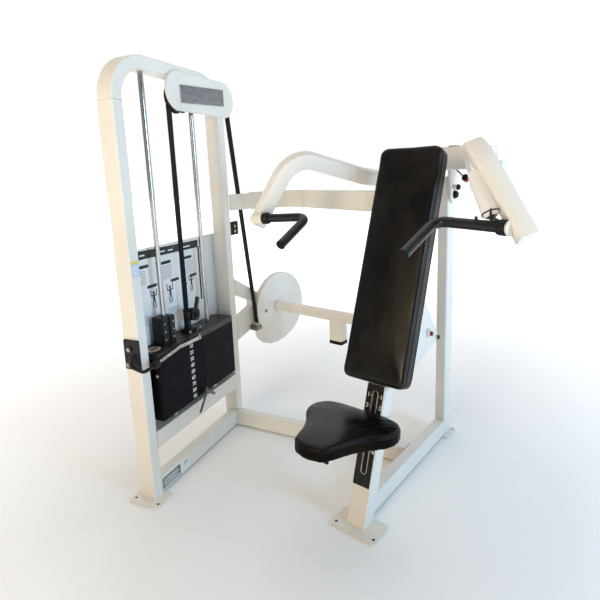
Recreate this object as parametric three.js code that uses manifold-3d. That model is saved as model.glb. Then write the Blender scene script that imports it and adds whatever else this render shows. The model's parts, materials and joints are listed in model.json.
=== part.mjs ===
// Overhead press machine with a weight stack.
// Millimetres, +Z up, the sitter faces -Y. While it is laid out, x = 0 is the right face of the
// rear upright, y = 0 is that upright's front face and z = 0 is the floor. The whole group is
// moved at the end so that the origin is the bottom centre of the machine.
import * as THREE from 'three';
import { mergeVertices } from 'three/addons/utils/BufferGeometryUtils.js';
import Module from 'manifold-3d';

const wasm = await Module();
wasm.setup();

// ---- driving dimensions ---------------------------------------------------------------------
const GAP = 0.4;                 // clearance between pieces that touch
const TUBE_NARROW = 50.8;        // frame tube, narrow side
const TUBE_DEEP = 76.2;          // frame tube, deep side
const ARM_WIDE = 57;             // tube of the press arms
const ARM_DEEP = 63.5;
const TUBE_ROUND = 5;            // rounded tube edges
const PLATE = 8;                 // floor plate thickness
const MIDDLE_X = -25.4;          // middle plane of the seat, pad and arms

const TOWER_X = -855.5;          // near right-hand floor corner of the weight tower
const TOWER_Y = -1179.7;
const TOWER_TURN = 14.67;        // toe-in of the tower, degrees
const TOWER_LONG = 721;          // tower length
const TOWER_HIGH = 1800;
const ARCH_R = 180;              // outer radius of the two top bends

const ROD_U = [200, 510];        // guide rods along the tower
const ROD_TOP = [1748.8, 1733];    // the far rod stops under the belt
const ROD_R = 11;
const BELT_U = 357;              // lifting belt along the tower
const MID_V = 38.1;              // middle plane of the tower
const BELT_WIDE = 27;
const BELT_THICK = 3;

const STACK_U = [73, 640];
const STACK_V = [-14, 100];
const STACK_Z = 330;
const PLATE_COUNT = 9;
const PLATE_PITCH = 30;

const PULLEY_A = { u: 420, z: 1678, groove: 61.5, flange: 68 };
const PULLEY_B = { u: 760, z: 1699.5, groove: 40, flange: 45 };

const PIVOT = { y: 38.1, z: 1207 };       // press axis, along X, through the rear upright
const SHAFT = { y: -150, z: 585 };        // cam shaft axis, along X
const LINK_ANGLE = 22.5;                  // horn and crank below level at rest, degrees
const LINK_R = (PIVOT.y - SHAFT.y) / (2 * Math.cos(LINK_ANGLE * Math.PI / 180));

const MAST_SLOPE = 0.3435;       // mast lean, y per z
const MAST_FRONT = -800.2;       // mast front face at the floor
const MAST_DEEP = 73.5;
const MAST_X = [-65.8, 15.8];
const PAD_LEAN = 20.5;           // back pad lean, degrees
const PAD_LOW = { y: -671, z: 544 };      // lower edge of the pad's front face
const PAD_LONG = 932;
const PAD_WIDE = 265;
const PAD_THICK = 80;
const BOARD_THICK = 12;

// ---- materials ------------------------------------------------------------------------------
const paint = (color, roughness, metalness = 0) =>
  new THREE.MeshStandardMaterial({ color, roughness, metalness });
const CREAM = paint(0xe9e3d3, 0.45);
const VINYL = paint(0x17130f, 0.42);
const BLACK = paint(0x17181c, 0.5);
const IRON = paint(0x14161b, 0.48);
const CHROME = paint(0xc9c9c6, 0.2, 1);
const STEEL = paint(0x8b8d90, 0.35, 1);
const RUBBER = paint(0x0d0d0e, 0.8);
const WEB = paint(0x101012, 0.75);
const PANEL = paint(0xeef0f2, 0.5);

// ---- shape helpers --------------------------------------------------------------------------
const rad = (degrees) => degrees * Math.PI / 180;
const v3 = (x, y, z) => new THREE.Vector3(x, y, z);

// Rounds the corners of a closed outline; a radius of zero keeps a corner sharp.
function fillet(points, radii, steps = 4, closed = true) {
  const out = [];
  const count = points.length;
  points.forEach((point, i) => {
    const radius = Array.isArray(radii) ? radii[i] : radii;
    const ends = !closed && (i === 0 || i === count - 1);
    if (!radius || ends) {
      out.push(point.clone());
      return;
    }
    const before = points[(i + count - 1) % count].clone().sub(point).normalize();
    const after = points[(i + 1) % count].clone().sub(point).normalize();
    const half = Math.acos(THREE.MathUtils.clamp(before.dot(after), -1, 1)) / 2;
    const back = radius / Math.tan(half);
    const centre = point.clone().addScaledVector(
      before.clone().add(after).normalize(), radius / Math.sin(half));
    const start = point.clone().addScaledVector(before, back).sub(centre);
    const end = point.clone().addScaledVector(after, back).sub(centre);
    const sweep = Math.PI - 2 * half;
    for (let k = 0; k <= steps; k += 1) {
      const t = k / steps;
      const spoke = start.clone().multiplyScalar(Math.sin((1 - t) * sweep) / Math.sin(sweep))
        .addScaledVector(end, Math.sin(t * sweep) / Math.sin(sweep));
      out.push(centre.clone().add(spoke));
    }
  });
  return out.filter((point, i) => i === 0 || point.distanceTo(out[i - 1]) > 0.01);
}

const flat = (pairs) => pairs.map(([x, y]) => new THREE.Vector2(x, y));
const rect = (x0, y0, x1, y1) => flat([[x0, y0], [x1, y0], [x1, y1], [x0, y1]]);

function circle(x, y, radius, steps = 24) {
  const points = [];
  for (let k = 0; k < steps; k += 1) {
    const angle = 2 * Math.PI * k / steps;
    points.push(new THREE.Vector2(x + radius * Math.cos(angle), y + radius * Math.sin(angle)));
  }
  return points;
}

// Outline of a bar of constant width that follows a bent centre line.
function ribbon(points, width, bend, steps = 8) {
  const line = fillet(points, bend, steps, false);
  const left = [];
  const right = [];
  line.forEach((point, i) => {
    const before = line[Math.max(i - 1, 0)];
    const after = line[Math.min(i + 1, line.length - 1)];
    const a = point.clone().sub(before).normalize();
    const b = after.clone().sub(point).normalize();
    const along = i === 0 ? b : i === line.length - 1 ? a : a.clone().add(b).normalize();
    const stretch = i === 0 || i === line.length - 1 ? 1 : 1 / along.dot(a);
    const side = new THREE.Vector2(-along.y, along.x).multiplyScalar(stretch * width / 2);
    left.push(point.clone().add(side));
    right.unshift(point.clone().sub(side));
  });
  return left.concat(right);
}

// Prism of an outline. In plane 'xy' it runs along z, in 'yz' along x and in 'xz' along y.
function prism(outline, plane, from, to, bevel = 0, holes = []) {
  const shape = new THREE.Shape(outline);
  holes.forEach((hole) => shape.holes.push(new THREE.Path(hole)));
  const geometry = new THREE.ExtrudeGeometry(shape, {
    depth: to - from - 2 * bevel,
    bevelEnabled: bevel > 0,
    bevelThickness: bevel,
    bevelSize: bevel,
    bevelOffset: -bevel,
    bevelSegments: 1,
    steps: 1,
  });
  geometry.translate(0, 0, (plane === 'xz' ? -to : from) + bevel);
  const basis = new THREE.Matrix4();
  if (plane === 'yz') {
    basis.makeBasis(v3(0, 1, 0), v3(0, 0, 1), v3(1, 0, 0));
  }
  if (plane === 'xz') {
    basis.makeBasis(v3(1, 0, 0), v3(0, 0, 1), v3(0, -1, 0));
  }
  return geometry.applyMatrix4(basis);
}

// Turned piece: profile pairs are (radius, distance along), between two points.
function turned(from, to, profile, sides = 20) {
  const geometry = new THREE.LatheGeometry(flat(profile), sides);
  const way = to.clone().sub(from).normalize();
  geometry.applyQuaternion(new THREE.Quaternion().setFromUnitVectors(v3(0, 1, 0), way));
  return geometry.translate(from.x, from.y, from.z);
}

function rod(from, to, radius, sides = 16, endRadius = radius) {
  const long = from.distanceTo(to);
  return turned(from, to, [[0, 0], [radius, 0], [endRadius, long], [0, long]], sides);
}

// Round bar along a bent line.
class BentLine extends THREE.Curve {
  constructor(points) {
    super();
    this.points = points;
    this.marks = [0];
    points.slice(1).forEach((point, i) => {
      this.marks.push(this.marks[i] + point.distanceTo(points[i]));
    });
  }

  getPoint(t, target = new THREE.Vector3()) {
    const want = t * this.marks[this.marks.length - 1];
    let i = 1;
    while (i < this.marks.length - 1 && this.marks[i] < want) {
      i += 1;
    }
    const part = (want - this.marks[i - 1]) / (this.marks[i] - this.marks[i - 1]);
    return target.lerpVectors(this.points[i - 1], this.points[i], part);
  }
}

function bentRod(points, bend, radius, sides = 12, steps = 24) {
  const line = new BentLine(fillet(points, bend, 8, false));
  return new THREE.ExtrudeGeometry(new THREE.Shape(circle(0, 0, radius, sides)), {
    extrudePath: line,
    steps,
    bevelEnabled: false,
  });
}

// Rectangular bar along a bent line in space; its width stays close to one direction.
function bentBar(points, bend, width, depth, across) {
  const line = fillet(points, bend, 7, false);
  const round = 7;
  const section = fillet(rect(-width / 2, -depth / 2, width / 2, depth / 2), round, 2);
  const ring = section.length;
  const spots = [];
  line.forEach((point, i) => {
    const along = line[Math.min(i + 1, line.length - 1)].clone()
      .sub(line[Math.max(i - 1, 0)]).normalize();
    const wide = across.clone().addScaledVector(along, -across.dot(along)).normalize();
    const deep = along.clone().cross(wide);
    section.forEach((corner) => {
      spots.push(point.clone().addScaledVector(wide, corner.x).addScaledVector(deep, corner.y));
    });
  });
  const faces = [];
  const last = (line.length - 1) * ring;
  for (let i = 0; i < line.length - 1; i += 1) {
    for (let k = 0; k < ring; k += 1) {
      const a = i * ring + k;
      const b = i * ring + (k + 1) % ring;
      faces.push(a, b, b + ring, a, b + ring, a + ring);
    }
  }
  THREE.ShapeUtils.triangulateShape(section, []).forEach(([a, b, c]) => {
    faces.push(a, c, b, last + a, last + b, last + c);
  });
  const geometry = new THREE.BufferGeometry();
  geometry.setAttribute('position', new THREE.Float32BufferAttribute(
    spots.flatMap((spot) => [spot.x, spot.y, spot.z]), 3));
  geometry.setIndex(faces);
  return geometry;
}

// ---- joining and cutting --------------------------------------------------------------------
function solid(geometry) {
  const bare = geometry.index ? geometry.toNonIndexed() : geometry.clone();
  Object.keys(bare.attributes).forEach((name) => {
    if (name !== 'position') {
      bare.deleteAttribute(name);
    }
  });
  const merged = mergeVertices(bare, 1e-3);
  return new wasm.Manifold(new wasm.Mesh({
    numProp: 3,
    vertProperties: new Float32Array(merged.attributes.position.array),
    triVerts: new Uint32Array(merged.index.array),
  }));
}

function surface(body) {
  const mesh = body.getMesh();
  const geometry = new THREE.BufferGeometry();
  geometry.setAttribute('position', new THREE.BufferAttribute(mesh.vertProperties, 3));
  geometry.setIndex(new THREE.BufferAttribute(mesh.triVerts, 1));
  return geometry.toNonIndexed();
}

function join(pieces, cuts = []) {
  let body = solid(pieces[0]);
  pieces.slice(1).forEach((piece) => {
    body = body.add(solid(piece));
  });
  cuts.forEach((cut) => {
    body = body.subtract(solid(cut));
  });
  return surface(body);
}

// ---- the scene graph ------------------------------------------------------------------------
const machine = new THREE.Group();
const tower = new THREE.Group();
tower.position.set(TOWER_X, TOWER_Y, 0);
tower.rotation.z = rad(TOWER_TURN);
machine.add(tower);

function place(group, name, geometry, material) {
  geometry.computeVertexNormals();
  const mesh = new THREE.Mesh(geometry, material);
  mesh.name = name;
  group.add(mesh);
  return mesh;
}

// ---- weight tower: x = across, y = along, from the near right-hand corner -------------------
const nearPost = [0, TUBE_NARROW];
const farPost = [TOWER_LONG - TUBE_NARROW, TOWER_LONG];
const archFoot = TOWER_HIGH - ARCH_R - 4;
const postOutline = (ends) =>
  fillet(rect(0, ends[0], TUBE_DEEP, ends[1]), TUBE_ROUND, 3);

function footPlate(x0, y0, x1, y1, holes) {
  const outline = fillet(rect(x0, y0, x1, y1), 14, 4);
  return prism(outline, 'xy', 0, PLATE, 0, holes.map(([x, y]) => circle(x, y, 6.5, 12)));
}
place(tower, 'tower_near_upright', join([
  prism(postOutline(nearPost), 'xy', 1, archFoot - GAP),
  footPlate(-25, -46, 122, 60, [[-9, -17], [107, -17]])]), CREAM);
place(tower, 'tower_far_upright', join([
  prism(postOutline(farPost), 'xy', 1, archFoot - GAP),
  footPlate(-25, 661, 122, 767, [[-9, 738], [107, 738]])]), CREAM);

const half = TUBE_NARROW / 2;
const archLine = flat([[half, archFoot], [half, TOWER_HIGH - half],
  [TOWER_LONG - half, TOWER_HIGH - half], [TOWER_LONG - half, archFoot]]);
const archOutline = ribbon(archLine, TUBE_NARROW, ARCH_R - half, 8);
place(tower, 'tower_top_arch', join(
  [prism(archOutline, 'yz', 0, TUBE_DEEP, TUBE_ROUND)],
  [prism(rect(560, PULLEY_A.z + PULLEY_A.groove - 6, 700, PULLEY_A.z + PULLEY_A.groove + 10),
    'yz', MID_V - 18, MID_V + 18)]), CREAM);

const baseV = [TUBE_DEEP - TUBE_NARROW, TUBE_DEEP];
const railOutline = (z0, z1) => fillet(rect(baseV[0], z0, baseV[1], z1), TUBE_ROUND, 3);
function towerRail(name, z0, z1) {
  place(tower, name, prism(railOutline(z0, z1), 'xz', nearPost[1] + GAP, farPost[0] - GAP),
    CREAM);
}
towerRail('tower_base_rail', PLATE + GAP, 81.2);

// The middle rail carries the rods, so it is the full depth of the uprights.
place(tower, 'tower_mid_rail', prism(
  fillet(rect(0, 212.6, TUBE_DEEP, 289), TUBE_ROUND, 3),
  'xz', nearPost[1] + GAP, farPost[0] - GAP), CREAM);

// Guide rods with a rubber stop round each foot.
['near', 'far'].forEach((end, i) => {
  place(tower, `guide_rod_${end}`, join([
    rod(v3(MID_V, ROD_U[i], 289 + GAP), v3(MID_V, ROD_U[i], ROD_TOP[i]), ROD_R, 14),
    rod(v3(MID_V, ROD_U[i], 289 + GAP), v3(MID_V, ROD_U[i], STACK_Z - GAP), 27, 20)]), CHROME);
});

// Instruction panel, a shallow tray on the back of the uprights.
place(tower, 'placard_panel', prism(flat([[-20, 20], [-GAP, 20], [-GAP, 42], [-16, 42],
  [-16, 679], [-GAP, 679], [-GAP, 701], [-20, 701]]), 'xy', 300, 1045), PANEL);

// Pulley housing: an oblong cover in front of the arch and a smaller plate behind it.
const oblong = (u0, u1, z0, z1) =>
  fillet(rect(u0, z0, u1, z1), (z1 - z0) / 2 - 0.5, 8);
place(tower, 'pulley_cover', join([
  prism(oblong(289, 794, 1612, 1776), 'yz', TUBE_DEEP + GAP, 92, 4),
  prism(fillet(flat([[372, 1645], [700, 1664], [700, 1739], [372, 1718]]), 6, 3),
    'yz', 90, 94)]), CREAM);
place(tower, 'pulley_back_plate', join([
  prism(oblong(400, 800, 1640, 1760), 'yz', -8, -GAP, 2),
  prism(rect(495, 1700, 525, 1732), 'yz', -4, MID_V - ROD_R - GAP)]), CREAM);

function pulley(name, data) {
  const { u, z, groove, flange } = data;
  const wide = 17;
  const reach = MID_V - GAP;
  const web = [[0, -reach], [9, -reach], [9, -wide], [flange, -wide], [groove, -14],
    [groove, 14], [flange, wide], [9, wide], [9, reach], [0, reach]];
  place(tower, name, turned(v3(MID_V, u, z), v3(MID_V + 1, u, z), web, 24), BLACK);
}
pulley('front_pulley', PULLEY_A);
pulley('rear_pulley', PULLEY_B);

// Rubber belt stop behind the far upright, with its two screws.
place(tower, 'belt_stop', join([
  prism(fillet(rect(721 + GAP, 1030, 792, 1100), 6, 3), 'yz', 68, 76, 1.5),
  rod(v3(74, 752, 1050), v3(80, 752, 1050), 7, 12),
  rod(v3(74, 752, 1076), v3(80, 752, 1076), 7, 12)]), RUBBER);

// ---- weight stack ---------------------------------------------------------------------------
const stackHoles = [
  circle(MID_V, ROD_U[0], ROD_R + 1.5, 10),
  circle(MID_V, ROD_U[1], ROD_R + 1.5, 10),
  circle(MID_V, BELT_U, 13.5, 10),
];
const stackOutline = fillet(rect(STACK_V[0], STACK_U[0], STACK_V[1], STACK_U[1]), 5, 1);
for (let i = 0; i < PLATE_COUNT; i += 1) {
  const low = STACK_Z + i * PLATE_PITCH;
  place(tower, `weight_plate_${PLATE_COUNT - i}`,
    prism(stackOutline, 'xy', low, low + PLATE_PITCH - GAP, 0, stackHoles), IRON);
}
const stackTop = STACK_Z + PLATE_COUNT * PLATE_PITCH;
const topHoles = stackHoles.slice(0, 2);
place(tower, 'top_plate', join([
  prism(stackOutline, 'xy', stackTop, stackTop + 26, 0, topHoles),
  rod(v3(MID_V, BELT_U, STACK_Z + 4), v3(MID_V, BELT_U, stackTop + 4), 12, 12)]), IRON);

const onTop = stackTop + 26 + GAP;
const addOn = flat([[8, 160], [68, 160], [68, 188], [60, 191], [60, 203], [68, 206],
  [68, 235], [8, 235]]);
place(tower, 'add_on_weight', prism(addOn, 'xy', onTop, onTop + 122, 0,
  [circle(MID_V, ROD_U[0], ROD_R + 1, 14)]), BLACK);

// Belt clamp on the top plate: two round jaws either side of the belt's tail.
place(tower, 'belt_clamp', join([
  prism(rect(BELT_U - 26, MID_V - 22, BELT_U + 34, MID_V + 22).map(
    (p) => new THREE.Vector2(p.y, p.x)), 'xy', onTop, onTop + 16),
  prism(fillet(flat([[BELT_U - 10, onTop + 8], [BELT_U + 12, onTop + 8],
    [BELT_U + 12, onTop + 110], [BELT_U - 10, onTop + 110]]), 4, 2), 'yz', MID_V - 12, MID_V + 12),
  rod(v3(MID_V + 4, 382, 706), v3(MID_V + 34, 382, 706), 30, 24),
  rod(v3(MID_V + 4, 344, 712), v3(MID_V + 26, 344, 712), 15, 20),
  prism(fillet(flat([[390, 720], [408, 720], [430, 775], [414, 783]]), 3, 2),
    'yz', MID_V + 14, MID_V + 24)]), BLACK);

// ---- lifting belt ---------------------------------------------------------------------------
const beltBox = [MID_V - BELT_WIDE / 2, MID_V + BELT_WIDE / 2];
const runU = PULLEY_A.u - PULLEY_A.groove - 0.3 - BELT_THICK / 2;
place(tower, 'belt_front_run', prism(
  rect(runU - BELT_THICK / 2, onTop + 110 + GAP, runU + BELT_THICK / 2, PULLEY_A.z - GAP),
  'yz', beltBox[0], beltBox[1]), WEB);

function arc(u, z, radius, from, to, steps) {
  const points = [];
  for (let k = 0; k <= steps; k += 1) {
    const angle = rad(from + (to - from) * k / steps);
    points.push(new THREE.Vector2(u + radius * Math.cos(angle), z + radius * Math.sin(angle)));
  }
  return points;
}
const wrapA = PULLEY_A.groove + 0.3 + BELT_THICK / 2;
const wrapB = PULLEY_B.groove + 0.3 + BELT_THICK / 2;
const overTop = arc(PULLEY_A.u, PULLEY_A.z, wrapA, 180, 90, 10)
  .concat(arc(PULLEY_B.u, PULLEY_B.z, wrapB, 90, 0, 10));
place(tower, 'belt_over_pulleys',
  prism(ribbon(overTop, BELT_THICK, 0), 'yz', beltBox[0], beltBox[1]), WEB);

// ---- adjusting lever on the near upright ----------------------------------------------------
place(tower, 'lever_bracket', join([
  prism(fillet(rect(4, 586, 83, 710), 5, 3), 'xz', -8, -GAP, 1.5),
  rod(v3(35, -6, 671), v3(35, -15, 671), 8, 12),
  rod(v3(26, -6, 607), v3(26, -15, 607), 8, 12)]), BLACK);
place(tower, 'lever_arm', join([
  bentRod([v3(50, -18, 650), v3(50, -28, 608), v3(112, -26, 592), v3(112, 34, 594)],
    11, 7, 10, 26),
  turned(v3(112, 30, 594), v3(112, 70, 600),
    [[0, 0], [12, 0], [17, 6], [17, 26], [12, 34], [0, 34]], 20)]), BLACK);
place(tower, 'lever_slide_rod', join([
  rod(v3(112, 64.6, 599.3), v3(112, 204, 617.2), 7.5, 14),
  rod(v3(112, 200, 617), v3(112, 343, 610.5), 9.5, 14)]), CHROME);

// ---- floor frame ----------------------------------------------------------------------------
const mastRear = (z) => MAST_FRONT + MAST_DEEP + MAST_SLOPE * z;
const railZ = [PLATE, PLATE + TUBE_DEEP];
place(machine, 'seat_rail', prism(flat([[mastRear(railZ[0]) + 0.6, railZ[0]],
  [-GAP, railZ[0]], [-GAP, railZ[1]], [mastRear(railZ[1]) + 0.6, railZ[1]]]),
  'yz', -TUBE_NARROW, 0, 4), CREAM);

const railSlope = Math.tan(rad(12.9));
const railDeep = TUBE_NARROW / Math.cos(rad(12.9));
const towerFace = (x, y) => {
  // Distance of a floor point past the tower's right-hand face.
  const c = Math.cos(rad(TOWER_TURN));
  const s = Math.sin(rad(TOWER_TURN));
  return (x - TOWER_X) * c + (y - TOWER_Y) * s - TUBE_DEEP;
};
function meetTower(offset) {
  let x = -900;
  for (let k = 0; k < 40; k += 1) {
    x -= towerFace(x, -314.4 + x * railSlope + offset) - GAP;
  }
  return [x, -314.4 + x * railSlope + offset];
}
const railRight = -TUBE_NARROW - GAP;
place(machine, 'cross_rail', prism(flat([meetTower(0),
  [railRight, -314.4 + railRight * railSlope],
  [railRight, -314.4 + railRight * railSlope + railDeep], meetTower(railDeep)]),
  'xy', PLATE + GAP, 82, 4), CREAM);

place(machine, 'rear_upright', join([
  prism(rect(0, 1, TUBE_DEEP, 1290), 'yz', -TUBE_NARROW, 0, TUBE_ROUND,
    [circle(PIVOT.y, PIVOT.z, 20.3 + TUBE_ROUND, 24)]),
  footPlate(-75, -GAP - 17.6, 24, 91, [[12, 80], [-63, 80]])]), CREAM);

// Mast: it follows the seat's track, steps back under the pad and runs up behind it.
const lean = { y: Math.sin(rad(PAD_LEAN)), z: Math.cos(rad(PAD_LEAN)) };
const padPoint = (up, back) => [PAD_LOW.y + lean.y * up + lean.z * back,
  PAD_LOW.z + lean.z * up - lean.y * back];
const backFace = PAD_THICK + BOARD_THICK + 1.2;
const mastFront = (z) => MAST_FRONT + MAST_SLOPE * z;
place(machine, 'seat_mast', join([prism(flat([
  [mastFront(2), 2], [mastRear(2), 2],
  [mastRear(455), 455], padPoint(20, backFace + 70), padPoint(780, backFace + 70),
  padPoint(780, backFace), padPoint(-5, backFace), padPoint(-5, PAD_THICK),
  [mastFront(515), 515]]),
  'yz', MAST_X[0], MAST_X[1], 4),
  footPlate(-115, -838, 83, -725.5, [[-98, -815], [66, -815]])]), CREAM);

// Number plate with the slot that the seat's pin runs in.
const slopeAngle = Math.atan(MAST_SLOPE);
const trackUp = { y: Math.sin(slopeAngle), z: Math.cos(slopeAngle) };
const trackPoint = (z, out) => [mastFront(z) - trackUp.z * out, z + trackUp.y * out];
place(machine, 'slot_plate', join([
  prism(flat([trackPoint(150, GAP), trackPoint(150, 3.4), trackPoint(514, 3.4),
    trackPoint(514, GAP)]), 'yz', -60, 10, 0)], [
  prism(fillet(rect(-31, 195, -13, 492), 8.5, 4), 'xz', -900, -500)]), BLACK);

// Upper crossbeam and the plate that ties it to the tower.
const beamFace = flat([[MAST_X[0] - GAP, -296], [-178, -296], [-240, -318], [-830, -130],
  [-950, -320]]);
const beamOutline = ribbon(beamFace, 2 * TUBE_NARROW, [0, 20, 90, 80, 0], 8);
const beamKeep = beamOutline.slice(beamOutline.length / 2);
const faceLine = fillet(beamFace, [0, 20, 90, 80, 0], 8, false);
place(machine, 'upper_crossbeam', join([
  prism(faceLine.concat(beamKeep), 'xy', 1154, 1243, 4),
  prism(ribbon(flat([[-963, -459.5], [-952, -300]]), 12, 0), 'xy', 1158, 1239, 1.5)]), CREAM);

// Bearing plate between the mast and the right-hand end of the cam shaft.
const bearingX = [-34, -26];
place(machine, 'shaft_bearing_plate', join([prism(fillet(flat([[-22, 527], [-155, 710],
  [-349, 920], padPoint(100, backFace + 72), padPoint(22, backFace + 72),
  [mastRear(452) + 2, 452], [mastRear(424) + 2, 424], [-235, 472]]),
  [26, 30, 0, 0, 0, 0, 0, 30], 5), 'yz', bearingX[0], bearingX[1], 1,
  [circle(SHAFT.y, SHAFT.z, 16.3, 20)]),
  rod(v3(bearingX[1] - 4, -52, 537), v3(-18, -52, 537), 9, 16)]), CREAM);

// Forked bracket from the tower's far upright to the left-hand end of the cam shaft.
const fork = new THREE.Group();
fork.position.set(-990, -461.8, 0);
fork.rotation.z = rad(6.26);
machine.add(fork);
const forkReach = 314;
place(fork, 'cam_bracket', prism(fillet(flat([[2.6, 714], [2.6, 800], [182, 690],
  [forkReach + 20, 634], [forkReach + 42, SHAFT.z], [forkReach + 20, 540], [2.6, 458],
  [2.6, 578], [134, 618], [134, 648]]), [0, 0, 20, 30, 30, 30, 0, 0, 16, 16], 4),
  'yz', -20, 20, 4, [circle(forkReach, SHAFT.z, 18 + 4, 20)]), CREAM);

// ---- cam shaft ------------------------------------------------------------------------------
const shaftAt = (x) => v3(x, SHAFT.y, SHAFT.z);
const forkRight = -1003;
const journal = 16;
place(machine, 'cam_shaft', turned(shaftAt(-1046), shaftAt(0), [[0, 0], [journal, 0],
  [journal, 48], [29, 48], [29, 985], [27, 994], [20, 1009], [journal, 1010.5],
  [journal, 1021], [20, 1021], [20, 1027], [17, 1033], [0, 1034]], 28), CREAM);

// Cam: a round disc set off its shaft, with a lobe below the belt's clamp.
const CAM = { y: -126, z: 577, r: 198, x: [-975, -945] };
const LOBE = [[180, 0], [200, 0], [207, 23], [214, 38], [220, 41], [231, 39], [243, 30],
  [258, 16], [274, 4], [285, 0], [300, 0]];
const camOutline = LOBE.map(([degrees, extra]) => [degrees, CAM.r + extra]);
for (let degrees = 310; degrees < 540; degrees += 10) {
  camOutline.push([degrees, CAM.r]);
}
place(machine, 'cam_disc', join([
  prism(camOutline.map(([degrees, radius]) => new THREE.Vector2(
    CAM.y + radius * Math.cos(rad(degrees)), CAM.z + radius * Math.sin(rad(degrees)))),
  'yz', CAM.x[0], CAM.x[1], 2.5,
  [circle(SHAFT.y, SHAFT.z, 29 + GAP + 2.5, 24), circle(-252, 576, 8 + 2.5, 12)]),
  prism(fillet(rect(-336, 486, -304, 514), 3, 2), 'yz', -976, -942, 1)]), CREAM);

// Belt from the rear pulley down to the cam. It turns a little on the way.
const towerSpin = new THREE.Matrix4().makeRotationZ(rad(TOWER_TURN));
const towerPoint = (v, u, z) => v3(v, u, z).applyMatrix4(towerSpin)
  .add(v3(TOWER_X, TOWER_Y, 0));
function beltPiece(spots) {
  const corners = [];
  spots.forEach(({ at, wide, thick }) => {
    [[-1, -1], [1, -1], [1, 1], [-1, 1]].forEach(([a, b]) => {
      corners.push(at.clone().addScaledVector(wide, a * BELT_WIDE / 2)
        .addScaledVector(thick, b * BELT_THICK / 2));
    });
  });
  const faces = [0, 1, 2, 0, 2, 3];
  for (let i = 0; i < spots.length - 1; i += 1) {
    for (let k = 0; k < 4; k += 1) {
      const a = 4 * i + k;
      const b = 4 * i + (k + 1) % 4;
      faces.push(a, b + 4, b, a, a + 4, b + 4);
    }
  }
  const end = corners.length - 4;
  faces.push(end, end + 2, end + 1, end, end + 3, end + 2);
  const geometry = new THREE.BufferGeometry();
  geometry.setAttribute('position', new THREE.Float32BufferAttribute(
    corners.flatMap((corner) => [corner.x, corner.y, corner.z]), 3));
  geometry.setIndex(faces);
  return geometry;
}
const camX = (CAM.x[0] + CAM.x[1]) / 2;
const rimR = CAM.r + 1.6 + BELT_THICK / 2;
const beltTop = towerPoint(MID_V, PULLEY_B.u + wrapB, PULLEY_B.z - GAP);
const spots = [{ at: beltTop, wide: v3(1, 0, 0).transformDirection(towerSpin),
  thick: v3(0, 1, 0).transformDirection(towerSpin) }];
[178, 183, 188, 195].forEach((degrees) => {
  const thick = v3(0, -Math.cos(rad(degrees)), -Math.sin(rad(degrees)));
  spots.push({ at: v3(camX, CAM.y, CAM.z).addScaledVector(thick, -rimR),
    wide: v3(1, 0, 0), thick });
});
place(machine, 'belt_rear_run', beltPiece(spots), WEB);

// Square stub that hangs from the shaft, with its end cap.
place(machine, 'shaft_stub', join([
  prism(fillet(rect(-564, -180, -489, -124), 4, 2), 'xy', 446, 575)],
  [rod(shaftAt(-700), shaftAt(-400), 29 + GAP, 28)]), CREAM);

// Crank on the shaft. Its pin drives the pull rod.
const drop = LINK_R * Math.sin(rad(LINK_ANGLE));
const linkY = PIVOT.y - LINK_R * Math.cos(rad(LINK_ANGLE));
const crankPin = { y: linkY, z: SHAFT.z - drop };
const hornPin = { y: linkY, z: PIVOT.z - drop };
const horn = [-160, -148];
place(machine, 'crank_arm', join([
  prism(fillet(flat([[SHAFT.y - 42, SHAFT.z - 30], [SHAFT.y - 42, SHAFT.z + 42],
    [SHAFT.y + 34, SHAFT.z + 42], [crankPin.y + 22, crankPin.z + 14],
    [crankPin.y + 18, crankPin.z - 20], [SHAFT.y, SHAFT.z - 46]]), 14, 3),
    'yz', horn[0], horn[1]),
  rod(v3(horn[0] + 4, crankPin.y, crankPin.z), v3(-126, crankPin.y, crankPin.z), 7, 16)],
  [rod(shaftAt(-200), shaftAt(-100), 29 + GAP, 28)]), CREAM);

// Pull rod: a plain eye above and a long slotted eye below.
const eyeX = [-146, -130];
place(machine, 'pull_rod', join([
  prism(circle(hornPin.y, hornPin.z, 17, 20), 'yz', eyeX[0], eyeX[1]),
  prism(fillet(rect(crankPin.y - 32, crankPin.z - 17, crankPin.y + 32, crankPin.z + 17), 16, 4),
    'yz', eyeX[0], eyeX[1]),
  rod(v3(-138, linkY, crankPin.z + 12), v3(-138, linkY, hornPin.z - 12), 8, 14)], [
  prism(circle(hornPin.y, hornPin.z, 7.4, 20), 'yz', -200, -100),
  prism(fillet(rect(crankPin.y - 24, crankPin.z - 8, crankPin.y + 24, crankPin.z + 8), 7.9, 4),
    'yz', -200, -100)]), STEEL);

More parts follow.
